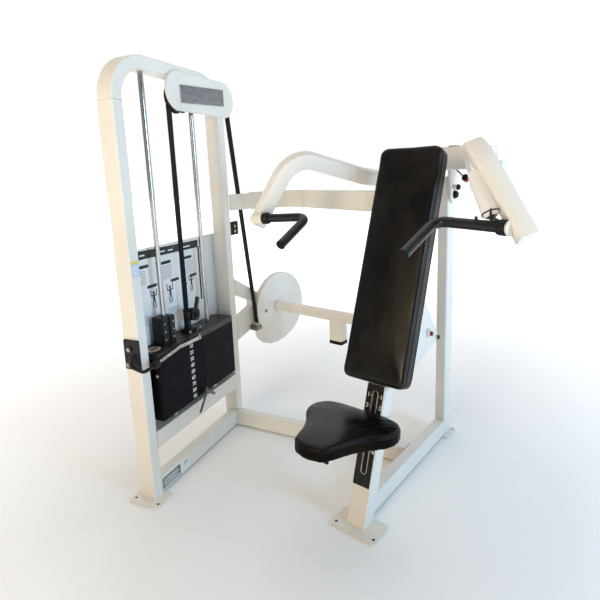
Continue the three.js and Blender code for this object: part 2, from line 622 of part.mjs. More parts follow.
// ---- press yoke -----------------------------------------------------------------------------
const mirrorX = (x) => 2 * MIDDLE_X - x;
const HINGE = { x: -212, y: -70, z: [1240, 1320] };
const box = (x0, y0, z0, x1, y1, z1) => prism(rect(x0, y0, x1, y1), 'xy', z0, z1);
const cheek = (x0, x1) => [
  prism(circle(PIVOT.y, PIVOT.z, 42, 28), 'yz', x0, x1),
  prism(flat([[-2, PIVOT.z + 4], [78, PIVOT.z + 4], [62, 1336], [-22, 1336]]), 'yz', x0, x1)];
function ears(x) {
  return [
    box(x - 27, -98, 1320, x + 27, -20, 1334),
    box(x - 27, -98, 1226, x + 27, -12, 1240),
    box(x - 27, -32, 1226, x + 27, -12, 1336),
    rod(v3(x, HINGE.y, 1230), v3(x, HINGE.y, 1330), 10, 16)];
}
place(machine, 'yoke', join([
  prism(fillet(rect(-26, 1320, 66, 1414), 7, 3), 'yz', -240, 190),
  prism(fillet(rect(-22, 1304, 60, 1350), 7, 3), 'yz', 160, 236),
  ...cheek(-63.5, -52), ...cheek(1.2, 12.7), ...ears(HINGE.x), ...ears(mirrorX(HINGE.x)),
  prism(flat([[-24, 1336], [22, 1336], [hornPin.y + 19, hornPin.z - 6],
    [hornPin.y, hornPin.z - 19], [hornPin.y - 19, hornPin.z]]), 'yz', horn[0], horn[1]),
  rod(v3(horn[0] + 4, hornPin.y, hornPin.z), v3(-124, hornPin.y, hornPin.z), 7, 16),
  prism(fillet(rect(-62, -16, 72, 56), 5, 2), 'xy', 1412, 1421, 1.5),
  rod(v3(9, 15, 1241), v3(34, 15, 1241), 12, 18)],
  [rod(v3(-100, PIVOT.y, PIVOT.z), v3(50, PIVOT.y, PIVOT.z), 20.3, 24)]), CREAM);
place(machine, 'pivot_pin', turned(v3(-74, PIVOT.y, PIVOT.z), v3(0, PIVOT.y, PIVOT.z),
  [[0, 0], [28, 0], [28, 9], [20, 9], [20, 88], [17, 88], [17, 97], [12, 103], [0, 103]], 24),
  BLACK);

// ---- press arms -----------------------------------------------------------------------------
function arm(side, long, shift, spread, onHandle) {
  const s = side === 'left' ? (x) => x : mirrorX;
  const at = (x, y, z) => v3(s(x), y, z);
  const apex = at(-380, -647, 1402).add(v3(shift, 0, 0));
  const foot = apex.clone().addScaledVector(v3(s(-0.51) - s(0), -0.195, -0.838), long);
  foot.x += spread;
  const line = [foot, apex, at(-275, -297, 1309), at(-218, -96, 1278)];
  const across = side === 'left' ? v3(-0.77, 0.55, 0.325) : v3(0.77, 0.55, 0.325);
  const joint = at(-478.4, -729, 1157);
  const corner = at(-282.4, -689, 1164);
  const grip = at(-264.4, -875, 1082);
  const way = corner.clone().sub(joint).normalize();
  const bar = bentBar(line, [0, 110, 60, 0], ARM_WIDE, ARM_DEEP, across);
  const boss = rod(joint.clone().addScaledVector(way, -44), joint, 24, 20);
  const barrel = rod(at(HINGE.x, HINGE.y, HINGE.z[0] + 0.5), at(HINGE.x, HINGE.y, HINGE.z[1] - 0.5),
    27, 24);
  const bore = rod(at(HINGE.x, HINGE.y, 1100), at(HINGE.x, HINGE.y, 1400), 10.4, 20);
  place(machine, `arm_${side}`, join([bar, boss, barrel], [bore]), CREAM);

  place(machine, `handle_${side}`, join([
    rod(joint.clone().addScaledVector(way, 1.4), joint.clone().addScaledVector(way, 26), 23, 16),
    bentRod([joint.clone().addScaledVector(way, 12), corner, grip], 38, 17, 12, 16),
    ...onHandle]), BLACK);
}

// The right arm also has a round strut along its inner side, clamped to the handle.
const strutLow = v3(390, -714, 1195);
const strutHigh = v3(304, -664, 1322);
const strutWay = strutHigh.clone().sub(strutLow).normalize();
place(machine, 'strut', turned(strutLow, strutHigh, [[0, 0], [24, 0], [24, 7], [19, 8],
  [24, 132], [20, 150], [0, 150]], 18), CREAM);
arm('left', 319, 0, 9, []);
arm('right', 326, 2, 12, [
  rod(strutLow.clone().addScaledVector(strutWay, -34),
    strutLow.clone().addScaledVector(strutWay, -GAP), 17, 16),
  prism(fillet(flat([[350, 1206], [343, 1178], [398, 1158], [398, 1172], [362, 1182]]),
    [2, 2, 0, 0, 4], 2), 'xz', -724, -714)]);

// ---- pads -----------------------------------------------------------------------------------
function padBox(name, back, thick, inset, material) {
  const wide = PAD_WIDE / 2 - inset;
  const body = prism(fillet(rect(-wide, inset, wide, PAD_LONG - inset), 34 - inset / 2, 5),
    'xy', 0, thick, inset ? 0 : 9);
  body.applyMatrix4(new THREE.Matrix4().makeBasis(v3(1, 0, 0), v3(0, lean.y, lean.z),
    v3(0, -lean.z, lean.y)));
  const [y, z] = padPoint(0, back);
  body.translate(MIDDLE_X, y, z);
  place(machine, name, body, material);
}
padBox('back_pad', PAD_THICK, PAD_THICK, 0, VINYL);
padBox('back_board', PAD_THICK + BOARD_THICK + GAP, BOARD_THICK, 8, BLACK);

// Seat pad: broad at the back, narrow at the nose, tipped up slightly at the front.
const SEAT_TILT = 4.7;
const SEAT_THICK = 52;
const seatHalf = [[0, -717], [110, -717], [150, -733], [176, -765], [181, -800], [175, -836],
  [155, -871], [124, -908], [102, -946], [86, -985], [72, -1024], [57, -1050], [30, -1062],
  [0, -1064]];
const seatOutline = flat(seatHalf.slice(1, -1)
  .concat(seatHalf.slice(1, -1).reverse().map(([x, y]) => [-x, y])))
  .map((p) => new THREE.Vector2(p.x, p.y + 890));
const seatGroup = new THREE.Group();
seatGroup.position.set(MIDDLE_X, -890, 471);
seatGroup.rotation.x = -rad(SEAT_TILT);
machine.add(seatGroup);
place(seatGroup, 'seat_pad', prism(seatOutline, 'xy', -SEAT_THICK, 0, 8), VINYL);

// Seat carriage: a sleeve round the mast, a support bar under the seat and a pull pin.
const carriage = new THREE.Group();
carriage.position.set(MIDDLE_X, mastFront(364), 364);
carriage.rotation.x = -slopeAngle;
machine.add(carriage);
const mastHalf = (MAST_X[1] - MAST_X[0]) / 2;
const mastThick = MAST_DEEP * Math.cos(slopeAngle);
place(carriage, 'seat_sleeve', prism(
  fillet(rect(-mastHalf - 8, -13, mastHalf + 8, mastThick + 8), 5, 3), 'xy', -42, 42, 0,
  [rect(-mastHalf - 2, -6, mastHalf + 2, mastThick + 2)]), CREAM);
const supportOutline = fillet(rect(-TUBE_NARROW / 2, 0, TUBE_NARROW / 2, 38.1), 4, 3);
const support = new THREE.Group();
support.position.set(MIDDLE_X, -985, 415.3 - 38.1);
support.rotation.x = -rad(SEAT_TILT);
machine.add(support);
place(support, 'seat_support', prism(supportOutline, 'xz', 0, 286), CREAM);
place(carriage, 'seat_pull_pin', turned(v3(-mastHalf - 8 - GAP, mastThick / 2, 0),
  v3(-mastHalf - 90, mastThick / 2, 0), [[0, 0], [10, 0], [10, 16], [7, 20], [7, 28], [15, 34],
    [18, 44], [14, 54], [0, 56]], 20), BLACK);

// ---- selector pin on its curly lanyard ------------------------------------------------------
const lanyardRoute = [[101, 356, 613], [107, 356, 613], [112, 356, 604], [114, 355.5, 588],
  [115, 355, 540], [115.5, 354.5, 480], [116, 355, 430], [116.5, 356, 390],
  [117, 357, 366]].map(([v, u, z]) => v3(v, u, z));
place(tower, 'lanyard', new THREE.ExtrudeGeometry(
  new THREE.Shape(circle(0, 0, 5, 8)), {
    extrudePath: new THREE.CatmullRomCurve3(lanyardRoute),
    steps: 24,
    bevelEnabled: false,
  }), BLACK);
place(tower, 'selector_pin', join([
  rod(v3(117.1, 357.3, 365.4), v3(117, 361, 342), 5, 8),
  bentRod([v3(116, 362, 342), v3(118, 330, 306), v3(120, 291, 264)], 0, 5, 10, 6),
  rod(v3(116, 345, 352), v3(118, 412, 306), 7, 12)]), STEEL);

// ---- origin at the bottom centre ------------------------------------------------------------
machine.updateMatrixWorld(true);
const bounds = new THREE.Box3().setFromObject(machine, true);
machine.position.set(-(bounds.min.x + bounds.max.x) / 2, -(bounds.min.y + bounds.max.y) / 2,
  -bounds.min.z);
machine.updateMatrixWorld(true);

export default machine;
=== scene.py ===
"""Looks of the overhead press machine: camera, lanyard, materials, pads, belt, labels and light.

Outlines, profiles and the arguments of place, tower and track are in millimetres. Other lengths
are in metres.
"""

import json
import math

import bmesh
import bpy
from mathutils import Matrix, Vector
from mathutils.bvhtree import BVHTree

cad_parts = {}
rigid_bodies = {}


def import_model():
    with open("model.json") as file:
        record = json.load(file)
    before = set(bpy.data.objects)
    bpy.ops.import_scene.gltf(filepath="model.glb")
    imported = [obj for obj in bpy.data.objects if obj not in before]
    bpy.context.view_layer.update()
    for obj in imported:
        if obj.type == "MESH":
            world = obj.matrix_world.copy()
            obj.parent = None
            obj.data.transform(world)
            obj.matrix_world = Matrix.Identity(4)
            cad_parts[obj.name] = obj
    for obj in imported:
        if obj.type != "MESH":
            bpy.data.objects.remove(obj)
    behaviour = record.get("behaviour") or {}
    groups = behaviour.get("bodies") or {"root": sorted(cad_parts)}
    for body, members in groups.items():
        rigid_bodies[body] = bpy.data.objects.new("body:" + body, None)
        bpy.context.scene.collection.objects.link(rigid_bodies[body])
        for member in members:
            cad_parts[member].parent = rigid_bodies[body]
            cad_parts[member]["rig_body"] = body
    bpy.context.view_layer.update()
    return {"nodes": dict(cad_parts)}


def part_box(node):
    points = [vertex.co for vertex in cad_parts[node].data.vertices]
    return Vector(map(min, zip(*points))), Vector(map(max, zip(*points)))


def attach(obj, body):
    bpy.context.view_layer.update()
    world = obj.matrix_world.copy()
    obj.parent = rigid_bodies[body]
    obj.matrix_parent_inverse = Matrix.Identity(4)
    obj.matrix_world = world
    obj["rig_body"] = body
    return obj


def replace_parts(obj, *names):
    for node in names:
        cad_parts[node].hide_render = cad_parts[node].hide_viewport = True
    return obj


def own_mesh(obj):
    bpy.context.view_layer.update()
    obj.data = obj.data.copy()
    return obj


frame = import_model()
NODES = frame["nodes"]

# ---- places ----
# The machine is laid out from the rear upright: x = 0 is its right face, y = 0 its front face.
RAIL_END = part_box("seat_rail")[1]
ORIGIN = Vector((RAIL_END.x, RAIL_END.y + 0.0004, 0))
TOWER_TURN = math.radians(14.67)
TOWER_ACROSS = Vector((math.cos(TOWER_TURN), math.sin(TOWER_TURN), 0))
TOWER_ALONG = Vector((-math.sin(TOWER_TURN), math.cos(TOWER_TURN), 0))
TOWER_CORNER = Vector((-0.8555, -1.1797, 0))
TRACK_LEAN = math.atan(0.3435)
TRACK_UP = Vector((0, math.sin(TRACK_LEAN), math.cos(TRACK_LEAN)))
TRACK_FOOT_Y = -800.2
MIDDLE_X = -25.4
UP = Vector((0, 0, 1))
X = Vector((1, 0, 0))
Y = Vector((0, 1, 0))


def place(x, y, z):
    """A point given in millimetres from the rear upright's front right corner at the floor."""
    return ORIGIN + Vector((x, y, z)) / 1000


def tower(v, u, z):
    """A point of the weight tower: v across it, u along it from its near end, in millimetres."""
    return ORIGIN + TOWER_CORNER + (TOWER_ACROSS * v + TOWER_ALONG * u) / 1000 + UP * z / 1000


def track(across, z, out):
    """A point on the sloping front of the seat's mast, out millimetres in front of it."""
    y = TRACK_FOOT_Y + z * math.tan(TRACK_LEAN) - out * math.cos(TRACK_LEAN)
    return place(across, y, z + out * math.sin(TRACK_LEAN))


PAD_LEAN = math.radians(20.5)
PAD_UP = Vector((0, math.sin(PAD_LEAN), math.cos(PAD_LEAN)))
PAD_BACK = Vector((0, math.cos(PAD_LEAN), -math.sin(PAD_LEAN)))
PAD_WIDE, PAD_LONG, PAD_THICK = 267, 940, 80
SEAT_TILT = math.radians(4.7)
SEAT_THICK = 52
STACK_FOOT = 330
PLATE_PITCH = 30
ARCH_FOOT = 1616
FOOT_PLATE_TOP = 8.4
BOSS_SHORTER = 0.036

# ---- camera ----
YAW, PITCH, ROLL = math.radians(39.25), math.radians(10.74), math.radians(-2.30)
CAMERA_PLACE = ORIGIN + Vector((0.8449, -2.1274, 1.3264))
LENS, SENSOR, RISE = 28.43, 36, -0.0596


def make_camera():
    """A camera in front of the machine and to its right, looking back and a little down."""
    forward = Vector((-math.sin(YAW) * math.cos(PITCH), math.cos(YAW) * math.cos(PITCH),
                      -math.sin(PITCH)))
    level_right = forward.cross(UP).normalized()
    level_up = level_right.cross(forward)
    right = level_right * math.cos(ROLL) + level_up * math.sin(ROLL)
    up = level_up * math.cos(ROLL) - level_right * math.sin(ROLL)
    data = bpy.data.cameras.new("camera")
    data.sensor_width = SENSOR
    data.lens = LENS
    data.shift_y = RISE
    data.clip_start = 0.05
    camera = bpy.data.objects.new("camera", data)
    bpy.context.scene.collection.objects.link(camera)
    turn = Matrix((right, up, -forward)).transposed().to_4x4()
    camera.matrix_world = Matrix.Translation(CAMERA_PLACE) @ turn
    bpy.context.scene.camera = camera


# ---- materials ----
class Shader:
    """A node material that is built up one layer at a time."""

    def __init__(self, name, metallic=0.0, specular=0.5, round_edges=0.0):
        self.material = bpy.data.materials.new(name)
        self.material.use_nodes = True
        self.tree = self.material.node_tree
        self.base = self.tree.nodes["Principled BSDF"]
        self.base.inputs["Metallic"].default_value = metallic
        self.base.inputs["Specular IOR Level"].default_value = specular
        self.place = self.add("ShaderNodeTexCoord").outputs["Object"]
        self.normal = None
        if round_edges:
            bevel = self.add("ShaderNodeBevel", Radius=round_edges)
            bevel.samples = 4
            self.normal = bevel.outputs["Normal"]
            self.link(self.normal, self.base.inputs["Normal"])

    def add(self, kind, **values):
        """A new node, with the inputs named in values set."""
        node = self.tree.nodes.new(kind)
        for name, value in values.items():
            node.inputs[name.replace("_", " ")].default_value = value
        return node

    def link(self, output, socket):
        self.tree.links.new(output, socket)

    def noise(self, scale, detail=4, stretch=(1, 1, 1)):
        """Noise over the object. A small stretch factor draws it out along that axis."""
        mapping = self.add("ShaderNodeMapping", Scale=stretch)
        self.link(self.place, mapping.inputs["Vector"])
        node = self.add("ShaderNodeTexNoise", Scale=scale, Detail=detail, Roughness=0.55)
        self.link(mapping.outputs["Vector"], node.inputs["Vector"])
        return node.outputs["Fac"]

    def range(self, value, low, high, start=0.3, end=0.7):
        """Maps value so that start becomes low and end becomes high."""
        node = self.add("ShaderNodeMapRange")
        for i, number in enumerate((start, end, low, high)):
            node.inputs[i + 1].default_value = number
        self.link(value, node.inputs[0])
        return node.outputs[0]

    def mix(self, factor, first, second):
        """A blend of two colours, each fixed or another node's output."""
        node = self.add("ShaderNodeMix")
        node.data_type = "RGBA"
        self.link(factor, node.inputs["Factor"])
        for socket, colour in ((node.inputs[6], first), (node.inputs[7], second)):
            if isinstance(colour, bpy.types.NodeSocket):
                self.link(colour, socket)
            else:
                socket.default_value = (*colour, 1)
        return node.outputs[2]

    def colour(self, output):
        self.link(output, self.base.inputs["Base Color"])

    def roughness(self, output):
        self.link(output, self.base.inputs["Roughness"])

    def bump(self, height, distance, strength):
        node = self.add("ShaderNodeBump", Distance=distance, Strength=strength)
        self.link(height, node.inputs["Height"])
        if self.normal:
            self.link(self.normal, node.inputs["Normal"])
        self.normal = node.outputs["Normal"]
        self.link(self.normal, self.base.inputs["Normal"])

    def dot(self, first, second=(0, 0, 0)):
        """How far the vector first points the way of second."""
        node = self.add("ShaderNodeVectorMath")
        node.operation = "DOT_PRODUCT"
        node.inputs[1].default_value = second
        self.link(first, node.inputs[0])
        return node.outputs["Value"]

    def edges(self, radius):
        """Mask that is 1 on a sharp edge and 0 on a flat face."""
        bevel = self.add("ShaderNodeBevel", Radius=radius)
        bevel.samples = 4
        flat = self.add("ShaderNodeNewGeometry")
        alike = self.dot(bevel.outputs["Normal"])
        self.link(flat.outputs["Normal"], alike.node.inputs[1])
        return self.range(alike, 1, 0, 0.86, 0.99)

    def times(self, first, second):
        node = self.add("ShaderNodeMath")
        node.operation = "MULTIPLY"
        self.link(first, node.inputs[0])
        self.link(second, node.inputs[1])
        return node.outputs[0]


def powder_coat(name, light, dark, scuff, edge_wear=1.0):
    """Textured paint: faint blotches, orange peel, and grime worn into its edges."""
    s = Shader(name, specular=0.45, round_edges=0.0025)
    tone = s.mix(s.range(s.noise(3.5), 0, 1), light, dark)
    worn = s.times(s.edges(0.003), s.range(s.noise(38), 0, edge_wear, 0.52, 0.68))
    tone = s.mix(worn, tone, scuff)
    marks = s.range(s.noise(9, 8, (1, 1, 0.25)), 0, 0.35, 0.63, 0.75)
    s.colour(s.mix(marks, tone, scuff))
    s.roughness(s.range(s.noise(14), 0.34, 0.5))
    s.bump(s.noise(900, 2), 0.0002, 0.25)
    return s.material


def vinyl(name, brown, shine, specular, face):
    """Upholstery vinyl: leather grain and a brownish bloom, with a painted reflection: full specular on
    the side called face and a fifth of it on sides turned away.
    """
    s = Shader(name)
    # Painted reflection and shade: the specular level drops on faces turned from face, so those sides
    # reflect less of the surround.
    toward = s.dot(s.add("ShaderNodeTexCoord").outputs["Normal"], face)
    s.link(s.range(toward, 0.2 * specular, specular, 0.1, 0.6), s.base.inputs["Specular IOR Level"])
    s.colour(s.mix(s.range(s.noise(5, 5), 0, 1, 0.42, 0.66), (0.0026, 0.0022, 0.002), brown))
    s.roughness(s.range(s.noise(8, 7, (1, 1, 0.5)), shine, shine + 0.22, 0.35, 0.65))
    cells = s.add("ShaderNodeTexVoronoi", Scale=480)
    s.link(s.place, cells.inputs["Vector"])
    s.bump(s.noise(7, 3, (1, 1, 0.4)), 0.003, 0.3)
    s.bump(s.noise(60, 4), 0.0007, 0.3)
    s.bump(cells.outputs["Distance"], 0.0005, 0.35)
    return s.material


def moulded(name, light, dark, rough, specular=0.4, grain=700, strength=0.3):
    """Dark paint, plastic or rubber with a fine grain and a few paler scuffs."""
    s = Shader(name, specular=specular, round_edges=0.0015)
    tone = s.mix(s.range(s.noise(12, 6), 0, 1), dark, light)
    scuffed = s.range(s.noise(55, 8, (1, 1, 0.4)), 0, 0.5, 0.64, 0.8)
    s.colour(s.mix(scuffed, tone, tuple(4 * c + 0.01 for c in light)))
    s.roughness(s.range(s.noise(20), rough - 0.07, rough + 0.1))
    s.bump(s.noise(grain, 3), 0.0003, strength)
    return s.material


def metal(name, light, dark, rough, stretch=(1, 1, 1), scale=120):
    """Bare or plated metal with drawn streaks and dull patches."""
    s = Shader(name, metallic=1.0, round_edges=0.001)
    s.colour(s.mix(s.range(s.noise(scale, 5, stretch), 0, 1), dark, light))
    s.roughness(s.range(s.noise(scale / 3, 5, stretch), rough - 0.07, rough + 0.16))
    s.bump(s.noise(scale * 4, 2, stretch), 0.0002, 0.25)
    return s.material


def webbing(name):
    """Woven belt: fine ribs across it and a slightly furry, faded face."""
    s = Shader(name, specular=0.25)
    ribs = s.add("ShaderNodeTexWave", Scale=150, Distortion=1.2, Detail=2)
    ribs.bands_direction = "Z"
    s.link(s.place, ribs.inputs["Vector"])
    s.colour(s.mix(s.times(ribs.outputs["Fac"], s.noise(60, 6)), (0.006, 0.006, 0.007),
                   (0.035, 0.034, 0.034)))
    s.roughness(s.range(s.noise(40), 0.6, 0.85))
    s.bump(ribs.outputs["Fac"], 0.0008, 0.6)
    return s.material


def print_ink(name, colour, fade=0.25):
    """Screen print or sticker face: flat ink with slight fading and rubbing."""
    s = Shader(name, specular=0.4)
    paler = tuple(c + (0.6 - c) * fade for c in colour)
    s.colour(s.mix(s.range(s.noise(45, 7), 0, 1, 0.5, 0.8), colour, paler))
    s.roughness(s.range(s.noise(30), 0.35, 0.6))
    s.bump(s.noise(500, 2), 0.0001, 0.2)
    return s.material


CREAM = (0.80, 0.765, 0.685)
FRAME_PAINT = powder_coat("frame_paint", CREAM, (0.735, 0.705, 0.635), (0.40, 0.35, 0.28))
PRESS_PAINT = powder_coat("press_paint", (0.83, 0.80, 0.74), (0.77, 0.74, 0.67), (0.42, 0.37, 0.3))
WELD_PAINT = powder_coat("weld_paint", CREAM, (0.74, 0.71, 0.64), (0.55, 0.5, 0.42), 0.0)
# The last argument of vinyl is the side that keeps full specular; the other sides get a painted, duller
# reflection.
PAD_VINYL = vinyl("pad_vinyl", (0.0105, 0.0078, 0.0052), 0.22, 0.26, (0.5, -0.8, 0.33))
SEAT_VINYL = vinyl("seat_vinyl", (0.009, 0.0062, 0.0038), 0.12, 0.17, (0, 0, 1))
PIPING = vinyl("piping_vinyl", (0.008, 0.007, 0.0066), 0.2, 0.3, (0, 0, 1))
STACK_PAINT = moulded("stack_paint", (0.0045, 0.0048, 0.007), (0.0022, 0.0022, 0.0034), 0.42, 0.07,
                      260, 0.5)
TOP_PAINT = moulded("top_plate_paint", (0.04, 0.034, 0.03), (0.012, 0.011, 0.01), 0.34, 0.4, 200, 0.5)
BLACK_PAINT = moulded("black_paint", (0.01, 0.01, 0.011), (0.005, 0.005, 0.0055), 0.42, 0.25)
BLACK_PLASTIC = moulded("black_plastic", (0.006, 0.006, 0.006), (0.004, 0.004, 0.004), 0.5, 0.18)
GRIP = moulded("grip_rubber", (0.009, 0.0085, 0.0085), (0.004, 0.004, 0.004), 0.34, 0.4, 420, 0.5)
RUBBER = moulded("black_rubber", (0.02, 0.02, 0.02), (0.01, 0.01, 0.01), 0.72, 0.3)
BOARD = moulded("back_board_black", (0.012, 0.011, 0.01), (0.006, 0.006, 0.006), 0.6)
CHROME = metal("chrome", (0.62, 0.61, 0.60), (0.28, 0.27, 0.26), 0.18, (1, 1, 0.008))
STEEL = metal("steel", (0.50, 0.49, 0.47), (0.24, 0.23, 0.22), 0.34)
DARK_STEEL = metal("dark_steel", (0.26, 0.24, 0.22), (0.09, 0.08, 0.075), 0.4)
BRASS = metal("brass", (0.80, 0.58, 0.26), (0.55, 0.38, 0.15), 0.3)
BRUSHED = metal("brushed_plate", (0.44, 0.45, 0.48), (0.03, 0.03, 0.035), 0.42, (1, 1, 1.4), 240)
WEBBING = webbing("belt_webbing")
PANEL = powder_coat("panel_paint", (0.80, 0.80, 0.79), (0.74, 0.735, 0.72), (0.4, 0.37, 0.33))
WHITE_INK = print_ink("white_print", (0.82, 0.82, 0.80), 0.15)
BLACK_INK = print_ink("black_print", (0.012, 0.012, 0.014), 0.06)
GREY_INK = print_ink("grey_print", (0.30, 0.31, 0.33))
YELLOW_INK = print_ink("yellow_print", (0.72, 0.60, 0.10))
LABEL_CREAM = print_ink("label_cream", (0.62, 0.56, 0.42))
LABEL_BROWN = print_ink("label_brown", (0.20, 0.09, 0.07))
BLUE_INK = print_ink("blue_print", (0.42, 0.52, 0.66))
RED_PAINT = moulded("red_paint", (0.42, 0.02, 0.02), (0.28, 0.012, 0.012), 0.4, 0.5)
# Painted shade: a dark colour for the bottoms of the floor bolt holes, which are in shadow.
HOLE_SHADE = moulded("hole_painted_shade", (0.008, 0.007, 0.006), (0.004, 0.004, 0.004), 0.8, 0.1)


# ---- mesh helpers ----
def put(name, mesh, material, body):
    """Makes an object of a finished mesh, and lets it ride on a body."""
    piece = bpy.data.objects.new(name, mesh)
    bpy.context.scene.collection.objects.link(piece)
    if not mesh.materials:
        mesh.materials.append(material)
    if body:
        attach(piece, body)
    return piece


def smooth(mesh, angle=38):
    """Shades a mesh smooth, apart from edges sharper than angle degrees."""
    mesh.shade_smooth()
    mesh.set_sharp_from_angle(angle=math.radians(angle))


def from_bmesh(name, bm, material, body):
    """Makes an object of a finished bmesh, with its faces turned outward."""
    bmesh.ops.recalc_face_normals(bm, faces=bm.faces)
    mesh = bpy.data.meshes.new(name)
    bm.to_mesh(mesh)
    bm.free()
    smooth(mesh)
    return put(name, mesh, material, body)


def add_plate(bm, corner, across, up, outline, thick, bevel=0.0):
    """Adds a plate to bm: outline is in millimetres on the plane, thick is along its normal."""
    normal = across.cross(up).normalized()
    low = [bm.verts.new(corner + across * a / 1000 + up * b / 1000) for a, b in outline]
    high = [bm.verts.new(v.co + normal * thick / 1000) for v in low]
    count = len(low)
    top = bm.faces.new(high)
    bm.faces.new(list(reversed(low)))
    for i in range(count):
        bm.faces.new((low[i], low[(i + 1) % count], high[(i + 1) % count], high[i]))
    if bevel:
        bmesh.ops.bevel(bm, geom=list(top.edges), offset=bevel / 1000, segments=2,
                        affect="EDGES", profile=0.6)


def plate(name, corner, across, up, outline, thick, material, body, bevel=0.0):
    """A plate as an object of its own."""
    bm = bmesh.new()
    add_plate(bm, corner, across, up, outline, thick, bevel)
    return from_bmesh(name, bm, material, body)


def rounded(a0, b0, a1, b1, radius, steps=5):
    """Outline of a rectangle with round corners."""
    spots = []
    for ca, cb, start in ((a1 - radius, b1 - radius, 0), (a0 + radius, b1 - radius, 90),
                          (a0 + radius, b0 + radius, 180), (a1 - radius, b0 + radius, 270)):
        for k in range(steps + 1):
            angle = math.radians(start + 90 * k / steps)
            spots.append((ca + radius * math.cos(angle), cb + radius * math.sin(angle)))
    return spots


def ellipse(a, b, wide, high, steps=28):
    """Outline of an ellipse round (a, b), from its two half widths."""
    return [(a + wide * math.cos(2 * math.pi * k / steps), b + high * math.sin(2 * math.pi * k / steps))
            for k in range(steps)]


def add_lathe(bm, centre, axis, profile, sides=32):
    """Adds a turned solid: profile pairs are (radius, height) in millimetres, along axis."""
    axis = axis.normalized()
    side = axis.orthogonal().normalized()
    other = axis.cross(side)
    rings = []
    for radius, height in profile:
        middle = centre + axis * height / 1000
        if radius < 1e-6:
            rings.append([bm.verts.new(middle)])
            continue
        rings.append([bm.verts.new(middle + (side * math.cos(2 * math.pi * k / sides)
                                             + other * math.sin(2 * math.pi * k / sides)) * radius / 1000)
                      for k in range(sides)])
    for first, second in zip(rings, rings[1:]):
        for k in range(sides):
            n = (k + 1) % sides
            corners = [first[k % len(first)], first[n % len(first)],
                       second[n % len(second)], second[k % len(second)]]
            unique = list(dict.fromkeys(corners))
            if len(unique) > 2:
                bm.faces.new(unique)


def lathe(name, centre, axis, profile, material, body, sides=32):
    """A turned solid as an object of its own."""
    bm = bmesh.new()
    add_lathe(bm, centre, axis, profile, sides)
    return from_bmesh(name, bm, material, body)


def bolt_head(radius, high):
    """Profile of a domed bolt head on a washer."""
    return [(0, 0), (radius * 1.5, 0), (radius * 1.5, high * 0.2), (radius, high * 0.25),
            (radius, high * 0.7), (radius * 0.75, high * 0.92), (0, high)]


def tube(name, points, radius, material, body, cyclic=False, smooth_line=True):
    """Round tube through points, as a mesh. radius is in millimetres, or one for each point."""
    data = bpy.data.curves.new(name, "CURVE")
    data.dimensions = "3D"
    data.bevel_depth = 0.001
    data.bevel_resolution = 4
    data.use_fill_caps = True
    data.resolution_u = 6
    spline = data.splines.new("NURBS" if smooth_line else "POLY")
    spline.points.add(len(points) - 1)
    radii = radius if isinstance(radius, list) else [radius] * len(points)
    for spot, at, size in zip(spline.points, points, radii):
        spot.co = (*at, 1)
        spot.radius = size
    spline.use_cyclic_u = cyclic
    if smooth_line:
        spline.order_u = 3
        spline.use_endpoint_u = not cyclic
    line = bpy.data.objects.new(name + "_line", data)
    bpy.context.scene.collection.objects.link(line)
    bpy.context.view_layer.update()
    mesh = bpy.data.meshes.new_from_object(line.evaluated_get(bpy.context.evaluated_depsgraph_get()))
    bpy.data.objects.remove(line)
    bpy.data.curves.remove(data)
    mesh.name = name
    mesh.materials.clear()
    smooth(mesh, 50)
    return put(name, mesh, material, body)


def bend(points, radius, steps=10):
    """Rounds the inner corners of a line of points."""
    line = [points[0]]
    for before, at, after in zip(points, points[1:], points[2:]):
        a = (before - at).normalized()
        b = (after - at).normalized()
        half = a.angle(b) / 2
        back = radius / 1000 / math.tan(half)
        centre = at + (a + b).normalized() * (radius / 1000 / math.sin(half))
        first = (at + a * back - centre).normalized()
        last = (at + b * back - centre).normalized()
        line += [centre + first.slerp(last, k / steps) * radius / 1000 for k in range(steps + 1)]
    return line + [points[-1]]


def refined(name, material):
    """A smooth-shaded copy of a CAD node whose round faces would show their facets."""
    mesh = NODES[name].data.copy()
    bm = bmesh.new()
    bm.from_mesh(mesh)
    bmesh.ops.remove_doubles(bm, verts=bm.verts, dist=2e-6)
    bm.to_mesh(mesh)
    bm.free()
    mesh.materials.clear()
    if "custom_normal" in mesh.attributes:
        mesh.attributes.remove(mesh.attributes["custom_normal"])
    smooth(mesh)
    piece = put(name + "_smooth", mesh, material, NODES[name]["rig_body"])
    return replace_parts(piece, name)


# ---- lanyard ----
def flowing(knots, steps=6):
    """A smooth line through knots."""
    route = []
    for i in range(len(knots) - 1):
        a, b, c, d = (knots[max(i - 1, 0)], knots[i], knots[i + 1], knots[min(i + 2, len(knots) - 1)])
        for k in range(steps):
            t = k / steps
            route.append(0.5 * (2 * b + (c - a) * t + (2 * a - 5 * b + 4 * c - d) * t * t
                                + (3 * b - a - 3 * c + d) * t ** 3))
    return route + [knots[-1]]


def curl(route, radius, pitch, per_turn=14):
    """Points of a coil that winds along route, and fades into it at both ends."""
    marks = [0.0]
    for a, b in zip(route, route[1:]):
        marks.append(marks[-1] + (b - a).length)
    long = marks[-1]
    turns = round(long / pitch)
    count = turns * per_turn
    points = []
    side = X.copy()
    for k in range(count + 1):
        want = long * k / count
        i = max(n for n, mark in enumerate(marks[:-1]) if mark <= want + 1e-9)
        along = (route[i + 1] - route[i]).normalized()
        middle = route[i].lerp(route[i + 1], (want - marks[i]) / (marks[i + 1] - marks[i]))
        side = (side - along * side.dot(along)).normalized()
        other = along.cross(side)
        angle = 2 * math.pi * k / per_turn
        reach = radius * min(1, want / (1.5 * pitch), (long - want) / (1.5 * pitch))
        points.append(middle + (side * math.cos(angle) + other * math.sin(angle)) * reach)
    return points


